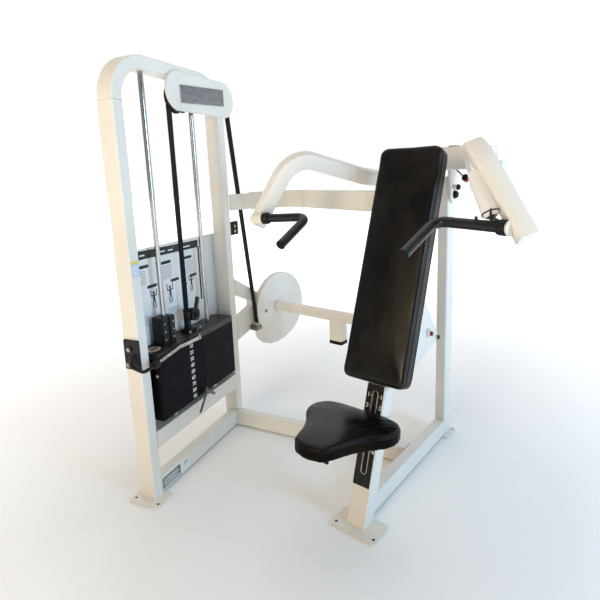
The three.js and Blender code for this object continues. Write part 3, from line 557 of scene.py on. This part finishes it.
def make_lanyard():
    """The selector pin's coiled cord, from a clip on the top plate down the front of the stack."""
    knots = [tower(*p) for p in ((101, 356, 613), (107, 356, 613), (112, 356, 604), (114, 355.5, 588),
                                 (115, 355, 540), (115.5, 354.5, 480), (116, 355, 430),
                                 (116.5, 356, 390), (117, 357, 366))]
    data = bpy.data.curves.new("lanyard_coil", "CURVE")
    data.dimensions = "3D"
    data.bevel_depth = 0.0012
    data.bevel_resolution = 3
    data.use_fill_caps = True
    points = curl(flowing(knots), 0.0042, 0.0058)
    spline = data.splines.new("POLY")
    spline.points.add(len(points) - 1)
    for spot, at in zip(spline.points, points):
        spot.co = (*at, 1)
    piece = bpy.data.objects.new("lanyard_coil", data)
    bpy.context.scene.collection.objects.link(piece)
    data.materials.append(BLACK_PLASTIC)
    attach(piece, "stack")
    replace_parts(piece, "lanyard")


# ---- pads ----
def slab(outline, thick, edge):
    """A closed slab over outline, in local millimetres, with chamfered edges."""
    bm = bmesh.new()
    add_plate(bm, Vector((0, 0, 0)), X, Y, outline, thick)
    bmesh.ops.bevel(bm, geom=[e for e in bm.edges if abs(e.verts[0].co.z - e.verts[1].co.z) < 1e-6],
                    offset=edge / 1000, segments=3, affect="EDGES", profile=0.5)
    bmesh.ops.triangulate(bm, faces=bm.faces)
    mesh = bpy.data.meshes.new("slab")
    bm.to_mesh(mesh)
    bm.free()
    return mesh


def inflate(piece, voxel, pressure, cap, hold):
    """Puffs a pad up as cloth under pressure. Points below the height hold stay on the board."""
    bpy.context.view_layer.objects.active = piece
    remesh = piece.modifiers.new("remesh", "REMESH")
    remesh.mode = "VOXEL"
    remesh.voxel_size = voxel
    bpy.ops.object.modifier_apply(modifier=remesh.name)
    before = [v.co.copy() for v in piece.data.vertices]
    pinned = piece.vertex_groups.new(name="pinned")
    pinned.add([i for i, co in enumerate(before) if co.z < hold], 1.0, "REPLACE")
    cloth = piece.modifiers.new("puff", "CLOTH")
    cloth.settings.quality = 4
    cloth.settings.mass = 0.3
    cloth.settings.tension_stiffness = 40
    cloth.settings.bending_stiffness = 8
    cloth.settings.use_pressure = True
    cloth.settings.uniform_pressure_force = pressure
    cloth.settings.vertex_group_mass = "pinned"
    cloth.settings.effector_weights.gravity = 0
    for frame_number in range(1, 21):
        bpy.context.scene.frame_set(frame_number)
    bpy.ops.object.modifier_apply(modifier=cloth.name)
    bpy.context.scene.frame_set(1)
    furthest = max((v.co - start).length for v, start in zip(piece.data.vertices, before))
    share = min(1, cap / max(furthest, 1e-9))
    for vertex, start in zip(piece.data.vertices, before):
        vertex.co = start.lerp(vertex.co, share)
    piece.vertex_groups.clear()
    relax = piece.modifiers.new("relax", "SMOOTH")
    relax.factor = 0.5
    relax.iterations = 10
    bpy.ops.object.modifier_apply(modifier=relax.name)
    finer = piece.modifiers.new("finer", "SUBSURF")
    finer.levels = 1
    bpy.ops.object.modifier_apply(modifier=finer.name)
    piece.data.shade_smooth()


def seam(piece, name, outline, height, body, stand):
    """Sews a piped seam round a pad at one height: a groove in the vinyl and a welt in it."""
    reach, press, groove = 0.05, 0.0012, 0.006
    tree = BVHTree.FromObject(piece, bpy.context.evaluated_depsgraph_get())
    centre = Vector((sum(a for a, _ in outline), sum(b for _, b in outline), 0)) / len(outline) / 1000
    spots = []
    count = len(outline)
    for i, (a, b) in enumerate(outline):
        before, after = outline[i - 1], outline[(i + 1) % count]
        out = Vector((after[1] - before[1], before[0] - after[0], 0)).normalized()
        start = Vector((a / 1000, b / 1000, height))
        if out.dot(start - centre) < 0:
            out = -out
        hit = tree.ray_cast(start + out * reach, -out)[0]
        if hit:
            spots.append(hit - out * press * 0.3)
    for vertex in piece.data.vertices:
        gap = abs(vertex.co.z - height)
        if gap < groove:
            inward = Vector((centre.x - vertex.co.x, centre.y - vertex.co.y, 0))
            side = abs(vertex.normal.z) < 0.75
            if side and inward.length > 0.03:
                depth = press * (1 - gap / groove) ** 2
                vertex.co -= Vector((vertex.normal.x, vertex.normal.y, 0)) * depth
    return tube(name, [stand @ spot for spot in spots], 1.5, PIPING, body, cyclic=True)


def dense(outline, gap=12):
    """The same closed outline with points no further apart than gap millimetres."""
    spots = []
    for (a0, b0), (a1, b1) in zip(outline, outline[1:] + outline[:1]):
        steps = max(1, math.ceil(math.hypot(a1 - a0, b1 - b0) / gap))
        spots += [(a0 + (a1 - a0) * k / steps, b0 + (b1 - b0) * k / steps) for k in range(steps)]
    return spots


def make_back_pad():
    """The back pad: a long crowned slab with a welt along its side."""
    crown, low_end = 3, -4
    outline = rounded(-PAD_WIDE / 2, low_end, PAD_WIDE / 2, low_end + PAD_LONG, 28, 6)
    mesh = slab(outline, PAD_THICK - crown, 11)
    piece = put("back_pad_cover", mesh, PAD_VINYL, None)
    inflate(piece, 0.0065, 4.0, 0.007, 0.012)
    corner = place(MIDDLE_X, -671, 544) + PAD_BACK * PAD_THICK / 1000
    turn = Matrix((X, PAD_UP, -PAD_BACK)).transposed().to_4x4()
    stand = Matrix.Translation(corner) @ turn
    welt = seam(piece, "back_pad_welt", dense(outline), 0.052, "frame", stand)
    rear = seam(piece, "back_pad_rear_welt", dense(outline), 0.012, "frame", stand)
    piece.data.transform(stand)
    piece.data.update()
    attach(piece, "frame")
    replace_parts(piece, "back_pad")


def make_seat_pad():
    """The saddle-shaped seat: broad at the back, a narrow nose, a sewn edge under its top."""
    half = [(0, 173), (60, 173), (110, 172), (150, 157), (176, 125), (181, 90), (175, 54), (155, 19),
            (124, -18), (102, -56), (86, -95), (72, -141), (57, -167), (30, -179), (0, -181)]
    crown, widen = 3, 1.01
    right = [(x * widen, y) for x, y in half]
    outline = right[:-1] + [(-x, y) for x, y in reversed(right[1:])]
    mesh = slab(dense(outline, 9), SEAT_THICK - crown, 9)
    piece = put("seat_cover", mesh, SEAT_VINYL, None)
    inflate(piece, 0.005, 2.6, 0.006, 0.006)
    turn = Matrix.Rotation(-SEAT_TILT, 4, "X")
    sink = Matrix.Translation((0, 0, -SEAT_THICK / 1000))
    stand = Matrix.Translation(place(MIDDLE_X, -890, 471)) @ turn @ sink
    welt = seam(piece, "seat_welt", dense(outline, 9), 0.038, "seat", stand)
    piece.data.transform(stand)
    piece.data.update()
    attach(piece, "seat")
    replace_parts(piece, "seat_pad")


# ---- belt ----
def make_front_belt():
    """The belt from the stack's clamp up to the front pulley."""
    low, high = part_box("belt_front_run")
    centre = (low + high) / 2
    wide, thick = 0.027, 0.003
    section = ((-0.5, -0.3), (-0.42, -0.5), (0.42, -0.5), (0.5, -0.3), (0.5, 0.3), (0.42, 0.5),
               (-0.42, 0.5), (-0.5, 0.3))
    bm = bmesh.new()
    rows = []
    count = 48
    for k in range(count + 1):
        z = low.z + (high.z - low.z) * k / count
        twist = 0.05 * math.sin(k * 0.31)
        across = TOWER_ACROSS * math.cos(twist) + TOWER_ALONG * math.sin(twist)
        normal = across.cross(UP)
        middle = Vector((centre.x, centre.y, z))
        rows.append([bm.verts.new(middle + across * a * wide + normal * b * thick) for a, b in section])
    for first, second in zip(rows, rows[1:]):
        for i in range(len(section)):
            n = (i + 1) % len(section)
            bm.faces.new((first[i], first[n], second[n], second[i]))
    bm.faces.new(rows[0])
    bm.faces.new(rows[-1])
    piece = from_bmesh("front_belt", bm, WEBBING, "frame")
    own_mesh(piece)
    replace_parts(piece, "belt_front_run")


# ---- CAD nodes ----
def handle_line(side):
    """Where a handle meets its arm, its corner and its free end."""
    def at(x, y, z):
        return place(x if side == "left" else 2 * MIDDLE_X - x, y, z)
    return at(-478.4, -729, 1157), at(-282.4, -689, 1164), at(-264.4, -875, 1082)


def taper_handle_boss(arm):
    """Draws the end of the right arm's handle boss back into a short cone."""
    joint, corner, _ = handle_line("right")
    way = (corner - joint).normalized()
    for vertex in arm.data.vertices:
        along = (vertex.co - joint).dot(way)
        off_axis = vertex.co - joint - way * along
        on_end_face = abs(along) < 0.006 and off_axis.length < 0.032
        if on_end_face:
            vertex.co = joint + way * (along - BOSS_SHORTER) + off_axis * 0.78
    arm.data.update()


def dress_cad_nodes():
    """Gives every CAD node its material, and smooth copies to those with round faces."""
    round_nodes = {
        "cam_shaft": PRESS_PAINT, "cam_disc": PRESS_PAINT, "arm_left": PRESS_PAINT, "yoke": PRESS_PAINT,
        "pivot_pin": BLACK_PLASTIC, "front_pulley": BLACK_PLASTIC, "rear_pulley": BLACK_PLASTIC,
        "guide_rod_near": CHROME, "guide_rod_far": CHROME, "lever_arm": BLACK_PAINT,
        "lever_slide_rod": CHROME, "pull_rod": STEEL, "seat_pull_pin": BLACK_PLASTIC,
        "belt_clamp": BLACK_PAINT, "tower_top_arch": FRAME_PAINT, "pulley_cover": FRAME_PAINT,
        "belt_over_pulleys": WEBBING, "upper_crossbeam": FRAME_PAINT,
    }
    flat_nodes = {
        "add_on_weight": BLACK_PAINT, "top_plate": TOP_PAINT, "lever_bracket": BLACK_PAINT,
        "slot_plate": BLACK_PAINT, "placard_panel": PANEL, "belt_stop": RUBBER,
        "belt_rear_run": WEBBING, "back_board": BOARD, "crank_arm": PRESS_PAINT,
        "shaft_stub": PRESS_PAINT, "selector_pin": DARK_STEEL,
    }
    for name, material in round_nodes.items():
        refined(name, material)
    taper_handle_boss(refined("arm_right", PRESS_PAINT))
    for name, node in NODES.items():
        if name in round_nodes or node.hide_render:
            continue
        material = flat_nodes.get(name, FRAME_PAINT)
        if name.startswith("weight_plate"):
            material = STACK_PAINT
        node.data.materials.clear()
        node.data.materials.append(material)


# ---- handles ----
def make_handles():
    """The bent grips: a rubber sleeve over a bar, with a steel socket and a plugged end."""
    sleeve, bend_radius = 17, 38
    for side, body in (("left", "arm_l"), ("right", "arm_r")):
        joint, corner, grip = handle_line(side)
        way = (corner - joint).normalized()
        if side == "right":
            joint = joint - way * BOSS_SHORTER
        down = (grip - corner).normalized()
        line = bend([joint + way * 0.012, corner, grip], bend_radius)
        cover = tube(f"grip_{side}", line, sleeve, GRIP, body, smooth_line=False)
        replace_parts(cover, f"handle_{side}")
        lathe(f"grip_{side}_socket", joint + way * 0.0014, way,
              [(0, 0), (23, 0), (23.5, 2), (23.5, 18), (22, 24), (17.5, 25), (0, 25)], BLACK_PAINT, body)
        lathe(f"grip_{side}_plug", grip - down * 0.002, down,
              [(0, 0), (17.6, 0), (18, 1.5), (17.6, 3.5), (15.5, 5), (13.5, 4.4), (0, 3.6)],
              BLACK_PLASTIC, body)


def make_strut():
    """The right arm's round strut, with the ring, bolt and thin levers of the clamp at its foot."""
    low = place(414, -716, 1184)
    high = place(339, -664, 1322)
    way = (high - low).normalized()
    strut = lathe("strut_tube", low, way,
                  [(0, 0), (17, 0), (25, 9), (26, 12), (26, 120), (22, 152), (0, 152)], PANEL, "arm_r", 48)
    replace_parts(strut, "strut")
    lathe("strut_foot_ring", low + way * 0.010, way,
          [(0, -1), (26.6, -1), (27.2, 0), (27.2, 2), (26.6, 3), (0, 3)], BLACK_PAINT, "arm_r")
    lathe("strut_foot_bolt", low - way * 0.020, way,
          [(0, 0), (13, 0), (14, 2), (14, 8), (9, 10), (9, 18), (15, 20), (15, 21), (0, 21.6)],
          DARK_STEEL, "arm_r")
    tube("clamp_lever", [low + Vector(p) for p in ((0.002, -0.018, 0.026), (0.002, -0.021, 0.012),
                                                  (0.006, -0.022, -0.010), (0.012, -0.019, -0.036))],
         [2.2, 3.4, 4.4, 5.0], BLACK_PAINT, "arm_r")
    tube("clamp_tail", [low + Vector(p) for p in ((-0.040, -0.014, 0.002), (-0.042, -0.015, -0.010),
                                                 (-0.026, -0.014, -0.016), (0.0, -0.012, -0.018))],
         [5.0, 4.4, 4.6, 5.0], BLACK_PAINT, "arm_r")


def make_arm_caps():
    """End caps on the lower ends of the two arms: black on the left, painted on the right."""
    for side, body, sign, apex_x, long, spread in (("left", "arm_l", 1, -380, 0.319, 0.009),
                                                   ("right", "arm_r", -1, 331.2, 0.326, 0.012)):
        apex = place(apex_x, -647, 1402)
        foot = apex + Vector((-0.51 * sign, -0.195, -0.838)) * long + X * spread
        along = (foot - apex).normalized()
        across = Vector((-0.77 * sign, 0.55, 0.325))
        across = (across - along * across.dot(along)).normalized()
        deep = along.cross(across)
        plate(f"arm_{side}_cap", foot, across, deep, rounded(-26.5, -29.5, 26.5, 29.5, 7), 3,
              BLACK_PLASTIC if side == "left" else PRESS_PAINT, body, 1)


# ---- small parts ----
def make_name_plate():
    """The blank metal plate on the pulleys' cover, with its raised rim and two rivets."""
    outline = [(372, 1645), (700, 1664), (700, 1739), (372, 1718)]
    plate("name_plate", tower(94.2, 0, 0), TOWER_ALONG, UP, outline, 0.8, BRUSHED, "frame", 0.3)
    rim = [tower(95.2, *p) for p in dense(outline, 20)]
    tube("name_plate_rim", rim, 1.2, STEEL, "frame", cyclic=True, smooth_line=False)
    for i, (u, z) in enumerate(((381, 1682), (691, 1702))):
        lathe(f"name_plate_rivet_{i + 1}", tower(95, u, z), TOWER_ACROSS,
              [(0, 0), (4, 0), (3.4, 1.6), (0, 2.2)], STEEL, "frame", 16)


def make_tower_bolts():
    """Screws, bolts and rivets of the weight tower and its stack."""
    for i, z in enumerate((1050, 1076)):
        lathe(f"belt_stop_screw_{i + 1}", tower(80, 752, z), TOWER_ACROSS,
              [(0, 0), (8, 0), (8, 1), (6.2, 2.6), (2.5, 3.2), (2.2, 2.2), (0, 2.2)], BRASS, "frame", 24)
    for i, (v, z) in enumerate(((35, 671), (26, 607))):
        lathe(f"bracket_bolt_{i + 1}", tower(v, -15, z), -TOWER_ALONG, bolt_head(6.5, 6), STEEL, "frame",
              24)
    lathe("stack_end_bolt", tower(88, 73, 530), -TOWER_ALONG, bolt_head(5.5, 5), STEEL, "stack", 20)
    for row, z in enumerate((652, 687, 722)):
        for column, u in enumerate((170, 224)):
            lathe(f"add_on_rivet_{row + 1}_{column + 1}", tower(68, u, z), TOWER_ACROSS,
                  [(0, 0), (4.5, 0), (4.1, 1.6), (2.4, 2.8), (0, 3.2)], STEEL, "add_on", 16)
    lathe("clamp_wheel_hub", tower(72, 382, 706), TOWER_ACROSS,
          [(0, 0), (17, 0), (17, 3), (12, 4.5), (11, 9), (6, 10), (0, 10)], BLACK_PLASTIC, "stack", 24)
    for i, u in enumerate((330, 408)):
        lathe(f"clamp_bolt_{i + 1}", tower(70, u, 634), TOWER_ACROSS, bolt_head(6, 7), STEEL, "stack", 20)
    lathe("lanyard_clip", tower(96, 356, 613), TOWER_ACROSS,
          [(0, 4), (9, 4), (9, 6), (6, 7.5), (0, 7.5)], STEEL, "stack", 20)


def floor_hole(name, centre):
    """A dark disc in a floor bolt's hole: painted shade where the hole's depth is in shadow."""
    lathe(name, centre, UP, [(0, 0.5), (6.2, 0.5), (6.2, 5.2), (5.2, 5.4), (0, 5.4)], HOLE_SHADE, "frame", 20)


def make_foot_holes():
    """Painted shade: a dark disc in two floor bolt holes of each of the four foot plates."""
    for name, u in (("near", -17), ("far", 738)):
        for i, v in enumerate((-9, 107)):
            floor_hole(f"{name}_foot_hole_{i + 1}", tower(v, u, 0))
    for name, spots in (("mast", ((-98, -815), (66, -815))), ("rear", ((12, 80), (-63, 80)))):
        for i, (x, y) in enumerate(spots):
            floor_hole(f"{name}_foot_hole_{i + 1}", place(x, y, 0))


def make_frame_trim():
    """Caps and bolts of the shaft, the cam and the seat's support."""
    plate("stub_cap", place(0, 0, 439), X, Y, rounded(-565.5, -181.5, -487.5, -122.5, 5), 18,
          BLACK_PLASTIC, "cam", 1.5)
    lathe("shaft_red_cap", place(-12.5, -150, 585), X,
          [(0, 0), (10.5, 0), (11, 1), (11, 7), (8.5, 10.5), (0, 11)], RED_PAINT, "cam")
    seat_up = Vector((0, math.sin(SEAT_TILT), math.cos(SEAT_TILT)))
    plate("support_cap", place(MIDDLE_X, -985.2, 377.2), X, seat_up, rounded(-25, 0.5, 25, 37.6, 4), 4,
          BLACK_PLASTIC, "seat", 1)
    lathe("bearing_plate_bolt", place(-18, -52, 537), X, bolt_head(8, 8), BLACK_PAINT, "frame", 24)
    plate("cam_belt_clamp", place(-979, 0, 0), Y, UP, rounded(-352, 486, -303, 512, 4), 40,
          DARK_STEEL, "cam", 1.5)
    lathe("cam_belt_bolt", place(-939, -330, 499), X, bolt_head(6, 7), STEEL, "cam", 20)


def make_yoke_trim():
    """The yoke's top cap and knob, and the bumper on its bent rod."""
    aim = Vector((0.81, 0, -0.59))
    plate("yoke_cap", place(0, 0, 1414.5), X, Y, rounded(-6, 0, 28, 58, 6), 11, BLACK_PLASTIC,
          "press", 2)
    tube("bumper_rod", [place(2, 10, 1356), place(34, 10, 1316), place(66, 11, 1284)], 4, STEEL,
         "press", smooth_line=False)
    lathe("yoke_bumper", place(60, 12, 1290), aim,
          [(0, 0), (9, 0), (15, 5), (16, 19), (12, 23), (0, 24)], BLACK_PLASTIC, "press")
    lathe("yoke_bumper_ring", place(79, 12, 1276), aim,
          [(0, 0), (13, 0), (14.6, 1), (14.6, 6), (12, 8), (0, 8.4)], RED_PAINT, "press")
    lathe("yoke_knob", place(34, 15, 1241), X,
          [(0, 0), (12, 0), (13, 2), (13, 8), (10, 12), (0, 13)], BLACK_PLASTIC, "press")


def make_weld(name, corner, across, up, outline, body="frame"):
    """A low weld bead round a tube, painted over."""
    spots = [corner + across * a / 1000 + up * b / 1000 for a, b in dense(outline, 6)]
    sizes = [1.9 + 0.3 * math.sin(1.9 * i) for i in range(len(spots))]
    tube(name, spots, sizes, WELD_PAINT, body, cyclic=True)


def make_welds():
    """Beads under the arch, round three feet and round the shaft where it meets the cam."""
    for name, u0, u1 in (("near", 0, 50.8), ("far", 670.2, 721)):
        make_weld(f"weld_arch_{name}", tower(0, 0, ARCH_FOOT), TOWER_ACROSS, TOWER_ALONG,
                  rounded(-0.3, u0 - 0.3, 76.5, u1 + 0.3, 5, 3))
        make_weld(f"weld_foot_{name}", tower(0, 0, FOOT_PLATE_TOP), TOWER_ACROSS, TOWER_ALONG,
                  rounded(-0.5, u0 - 0.5, 76.7, u1 + 0.5, 5, 3))
    make_weld("weld_rear_foot", place(0, 0, FOOT_PLATE_TOP), X, Y,
              rounded(-51.3, -0.1, 0.5, 76.7, 5, 3))
    make_weld("weld_cam_hub", place(-944.6, -150, 585), Y, UP, ellipse(0, 0, 29.8, 29.8), "cam")


# ---- labels ----
def numeral(name, number, size, corner, across, up, body):
    """A printed number as a thin raised mesh."""
    data = bpy.data.curves.new(name, "FONT")
    data.body = str(number)
    data.size = size / 1000
    data.align_x = "CENTER"
    data.align_y = "CENTER"
    data.extrude = 0.00012
    data.offset = size * 0.000012
    line = bpy.data.objects.new(name + "_line", data)
    bpy.context.scene.collection.objects.link(line)
    bpy.context.view_layer.update()
    mesh = bpy.data.meshes.new_from_object(line.evaluated_get(bpy.context.evaluated_depsgraph_get()))
    bpy.data.objects.remove(line)
    normal = across.cross(up)
    mesh.transform(Matrix.Translation(corner) @ Matrix((across, up, normal)).transposed().to_4x4())
    mesh.materials.clear()
    put(name, mesh, WHITE_INK, body)


def make_stack_labels():
    """White numbers down the stack, and an oval label on its top plate."""
    for i in range(9):
        z = STACK_FOOT + PLATE_PITCH * (8.5 - i)
        numeral(f"stack_number_{i + 1}", 10 * (i + 1), 25, tower(100.25, 291, z), TOWER_ALONG, UP, "stack")
    plate("top_plate_label", tower(0, 0, 626.1), TOWER_ACROSS, TOWER_ALONG, ellipse(42, 118, 25, 33),
          0.5, LABEL_CREAM, "stack")
    plate("top_plate_label_band", tower(0, 0, 626.6), TOWER_ACROSS, TOWER_ALONG, ellipse(42, 118, 16, 22),
          0.3, LABEL_BROWN, "stack")


def add_figure(bm, sheet_point, u, z, high, raised):
    """A generic pictogram of a person: a round head and straight limbs."""
    def limb(points, width):
        for (u0, z0), (u1, z1) in zip(points, points[1:]):
            long = math.hypot(u1 - u0, z1 - z0)
            side = ((z1 - z0) / long * width / 2, -(u1 - u0) / long * width / 2)
            corners = [(u0 + side[0], z0 + side[1]), (u1 + side[0], z1 + side[1]),
                       (u1 - side[0], z1 - side[1]), (u0 - side[0], z0 - side[1])]
            add_plate(bm, sheet_point, TOWER_ALONG, UP, corners, 0.3)
    k = high / 100
    add_plate(bm, sheet_point, TOWER_ALONG, UP, ellipse(u, z + 88 * k, 8 * k, 9 * k, 16), 0.3)
    limb([(u, z + 78 * k), (u, z + 42 * k)], 15 * k)
    hand = 108 if raised else 66
    for side in (-1, 1):
        limb([(u + 5 * side * k, z + 74 * k), (u + 22 * side * k, z + 72 * k),
              (u + 24 * side * k, z + hand * k)], 6 * k)
        limb([(u + 5 * side * k, z + 44 * k), (u + 10 * side * k, z + 22 * k),
              (u + 8 * side * k, z)], 7 * k)


def make_placard():
    """The instruction sheet: blank lines and generic figures under a plain black band."""
    face = tower(-15.9, 0, 0)
    plate("placard_sheet", face, TOWER_ALONG, UP, rounded(56, 640, 562, 1040, 6), 0.5, WHITE_INK,
          "frame")
    front = tower(-15.3, 0, 0)
    bm = bmesh.new()
    add_plate(bm, front, TOWER_ALONG, UP, [(58, 1002), (552, 994), (555, 1030), (58, 1038)], 0.3)
    add_plate(bm, front, TOWER_ALONG, UP, [(545, 730), (558, 730), (560, 998), (547, 998)], 0.3)
    for u, z, wide in ((106, 968, 92), (270, 962, 74), (420, 958, 78), (178, 876, 62), (330, 872, 60),
                       (470, 866, 54)):
        add_plate(bm, front, TOWER_ALONG, UP, rounded(u, z - 7, u + wide, z + 7, 6.9, 4), 0.3)
    for u, z, high, raised in ((214, 776, 78, True), (322, 772, 84, True), (480, 790, 76, True),
                               (120, 770, 78, False), (430, 780, 74, False)):
        add_figure(bm, front, u, z, high, raised)
    from_bmesh("placard_black_print", bm, BLACK_INK, "frame")
    bm = bmesh.new()
    for u, z, wide in ((100, 982, 40), (150, 981, 30), (250, 979, 60), (330, 977, 34), (420, 975, 70)):
        add_plate(bm, tower(-14.9, 0, 0), TOWER_ALONG, UP,
                  [(u, z + 33), (u + wide, z + 32.4), (u + wide, z + 38.4), (u, z + 39)], 0.2)
    from_bmesh("placard_white_print", bm, WHITE_INK, "frame")
    bm = bmesh.new()
    for block, (u, z, rows, wide) in enumerate(((100, 948, 7, 104), (262, 944, 7, 96), (412, 938, 7, 100),
                                                (100, 752, 5, 90), (300, 744, 4, 90))):
        for row in range(rows):
            cut = wide * (0.72 + 0.28 * math.sin(3.1 * row + block) ** 2)
            add_plate(bm, front, TOWER_ALONG, UP,
                      [(u, z - 9 * row), (u + cut, z - 9 * row - 0.4), (u + cut, z - 9 * row + 2.4),
                       (u, z - 9 * row + 2.8)], 0.25)
    from_bmesh("placard_grey_print", bm, GREY_INK, "frame")


def blank_lines(name, v, u, z, wide, cut, thick, gap, count):
    """Rows of blank print on the tower's side. Every second row is shorter by cut."""
    bm = bmesh.new()
    for row in range(count):
        end, low = u + wide - cut * (row % 2), z + gap * row
        add_plate(bm, tower(v, 0, 0), TOWER_ALONG, UP,
                  [(u, low), (end, low), (end, low + thick), (u, low + thick)], 0.2)
    from_bmesh(name, bm, WHITE_INK, "frame")


def make_stickers():
    """Plain stickers: no words, only blocks and lines."""
    near = tower(76.3, 0, 0)
    plate("upright_sticker_top", near, TOWER_ALONG, UP, rounded(6, 1010, 47, 1022, 1), 0.4, YELLOW_INK,
          "frame")
    plate("upright_sticker", near, TOWER_ALONG, UP, rounded(6, 962, 47, 1009, 1), 0.4, BLUE_INK, "frame")
    blank_lines("upright_sticker_lines", 76.8, 9, 968, 35, 5, 4, 8, 5)
    plate("rail_label", near, TOWER_ALONG, UP, rounded(55, 20, 172, 68, 2), 0.6, BRUSHED, "frame", 0.2)
    blank_lines("rail_label_lines", 77.0, 62, 27, 103, 14, 3.5, 9, 4)
    plate("rail_sticker", near, TOWER_ALONG, UP, rounded(198, 46, 222, 62, 1.5), 0.4, BLUE_INK, "frame")
    plate("panel_strip", tower(-15.9, 0, 0), TOWER_ALONG, UP, rounded(596, 330, 601, 1040, 1), 0.5,
          GREY_INK, "frame")
    plate("panel_sticker", tower(-15.9, 0, 0), TOWER_ALONG, UP, rounded(638, 704, 664, 730, 1.5), 0.5,
          WHITE_INK, "frame")
    lathe("panel_screw", tower(-15.4, 651, 717), TOWER_ACROSS, [(0, 0), (3, 0), (2.4, 1), (0, 1.3)],
          BLACK_INK, "frame", 14)


def make_seat_scale():
    """Bright rim round the seat track's slot, with a numbered scale on each side of it."""
    rim = []
    for end_z, first in ((480, 0), (207, 180)):
        for degrees in range(first, first + 181, 15):
            angle = math.radians(degrees)
            rim.append(track(-22 + 11.5 * math.cos(angle), end_z + 13 * math.sin(angle), 4.0))
    tube("slot_rim", rim, 2.0, STEEL, "frame", cyclic=True, smooth_line=False)
    plate("slot_floor", track(0, 195, 0.6), X, TRACK_UP, rounded(-30, 0, -14, 313, 7.5), 0.4,
          BLACK_PLASTIC, "frame")
    for i in range(6):
        z = 474 - 39 * i
        for side, x, inner in (("left", -50, -38), ("right", 5, -7)):
            numeral(f"scale_{side}_{i + 1}", i + 1, 23, track(x, z, 3.55), X, TRACK_UP, "frame")
            plate(f"scale_{side}_mark_{i + 1}", track(0, z, 3.5), X, TRACK_UP,
                  [(inner - 3.5, -1), (inner + 3.5, -1), (inner + 3.5, 1), (inner - 3.5, 1)], 0.3,
                  WHITE_INK, "frame")


# ---- studio ----
def area_light(name, at, target, size, power, colour):
    """A round soft light at one point, aimed at another."""
    data = bpy.data.lights.new(name, "AREA")
    data.shape = "DISK"
    data.size = size
    data.energy = power
    data.color = colour
    light = bpy.data.objects.new(name, data)
    bpy.context.scene.collection.objects.link(light)
    light.location = at
    light.rotation_euler = (Vector(target) - Vector(at)).to_track_quat("-Z", "Y").to_euler()


def make_floor():
    """A plain white floor that glows more and more from near to far, so that it has no horizon."""
    near, far = 0.9, 4.5
    bm = bmesh.new()
    bmesh.ops.create_circle(bm, cap_ends=True, segments=96, radius=30)
    mesh = bpy.data.meshes.new("floor")
    bm.to_mesh(mesh)
    bm.free()
    s = Shader("floor_white", specular=0.2)
    s.colour(s.mix(s.range(s.noise(2), 0, 1), (0.93, 0.93, 0.93), (0.91, 0.91, 0.91)))
    s.roughness(s.range(s.noise(5), 0.6, 0.75))
    from_middle = s.add("ShaderNodeVectorMath")
    from_middle.operation = "LENGTH"
    s.link(s.place, from_middle.inputs[0])
    s.base.inputs["Emission Color"].default_value = (1, 1, 1, 1)
    s.link(s.range(from_middle.outputs["Value"], 0, 1, near, far), s.base.inputs["Emission Strength"])
    floor = put("floor", mesh, s.material, None)
    floor.location.z = -0.0005


def make_surround():
    """A white surround, brightest at the back left and dim behind the camera."""
    dim, bright = 0.26, 1.01
    world = bpy.data.worlds.new("surround")
    bpy.context.scene.world = world
    world.use_nodes = True
    tree = world.node_tree
    tree.nodes["Background"].inputs["Color"].default_value = (1, 1, 1, 1)
    way = tree.nodes.new("ShaderNodeTexCoord").outputs["Generated"]
    toward = tree.nodes.new("ShaderNodeVectorMath")
    toward.operation = "DOT_PRODUCT"
    toward.inputs[1].default_value = (-0.63, 0.77, 0.0)
    tree.links.new(way, toward.inputs[0])
    wall = tree.nodes.new("ShaderNodeMapRange")
    for i, number in enumerate((-0.1, 0.5, dim, bright)):
        wall.inputs[i + 1].default_value = number
    tree.links.new(toward.outputs["Value"], wall.inputs[0])
    tree.links.new(wall.outputs[0], tree.nodes["Background"].inputs["Strength"])


def make_lights():
    """A warm light in front, a cool one on the right and a weak one overhead."""
    area_light("key", (0.3, -4.6, 2.1), (0, 0, 0.6), 1.7, 86, (1.0, 0.77, 0.47))
    area_light("side", (4.5, 0.3, 1.6), (0, 0, 0.7), 1.8, 122, (0.38, 0.68, 1.0))
    area_light("top", (0.2, 0.4, 5.0), (0, 0, 0.5), 3.0, 18, (1.0, 0.98, 0.95))
    bpy.context.scene.view_settings.view_transform = "Standard"


# ---- the whole scene ----
make_camera()
make_lanyard()
make_back_pad()
make_seat_pad()
make_front_belt()
make_handles()
make_strut()
make_arm_caps()
dress_cad_nodes()
make_name_plate()
make_tower_bolts()
make_foot_holes()
make_frame_trim()
make_yoke_trim()
make_welds()
make_stack_labels()
make_placard()
make_stickers()
make_seat_scale()
make_floor()
make_surround()
make_lights()
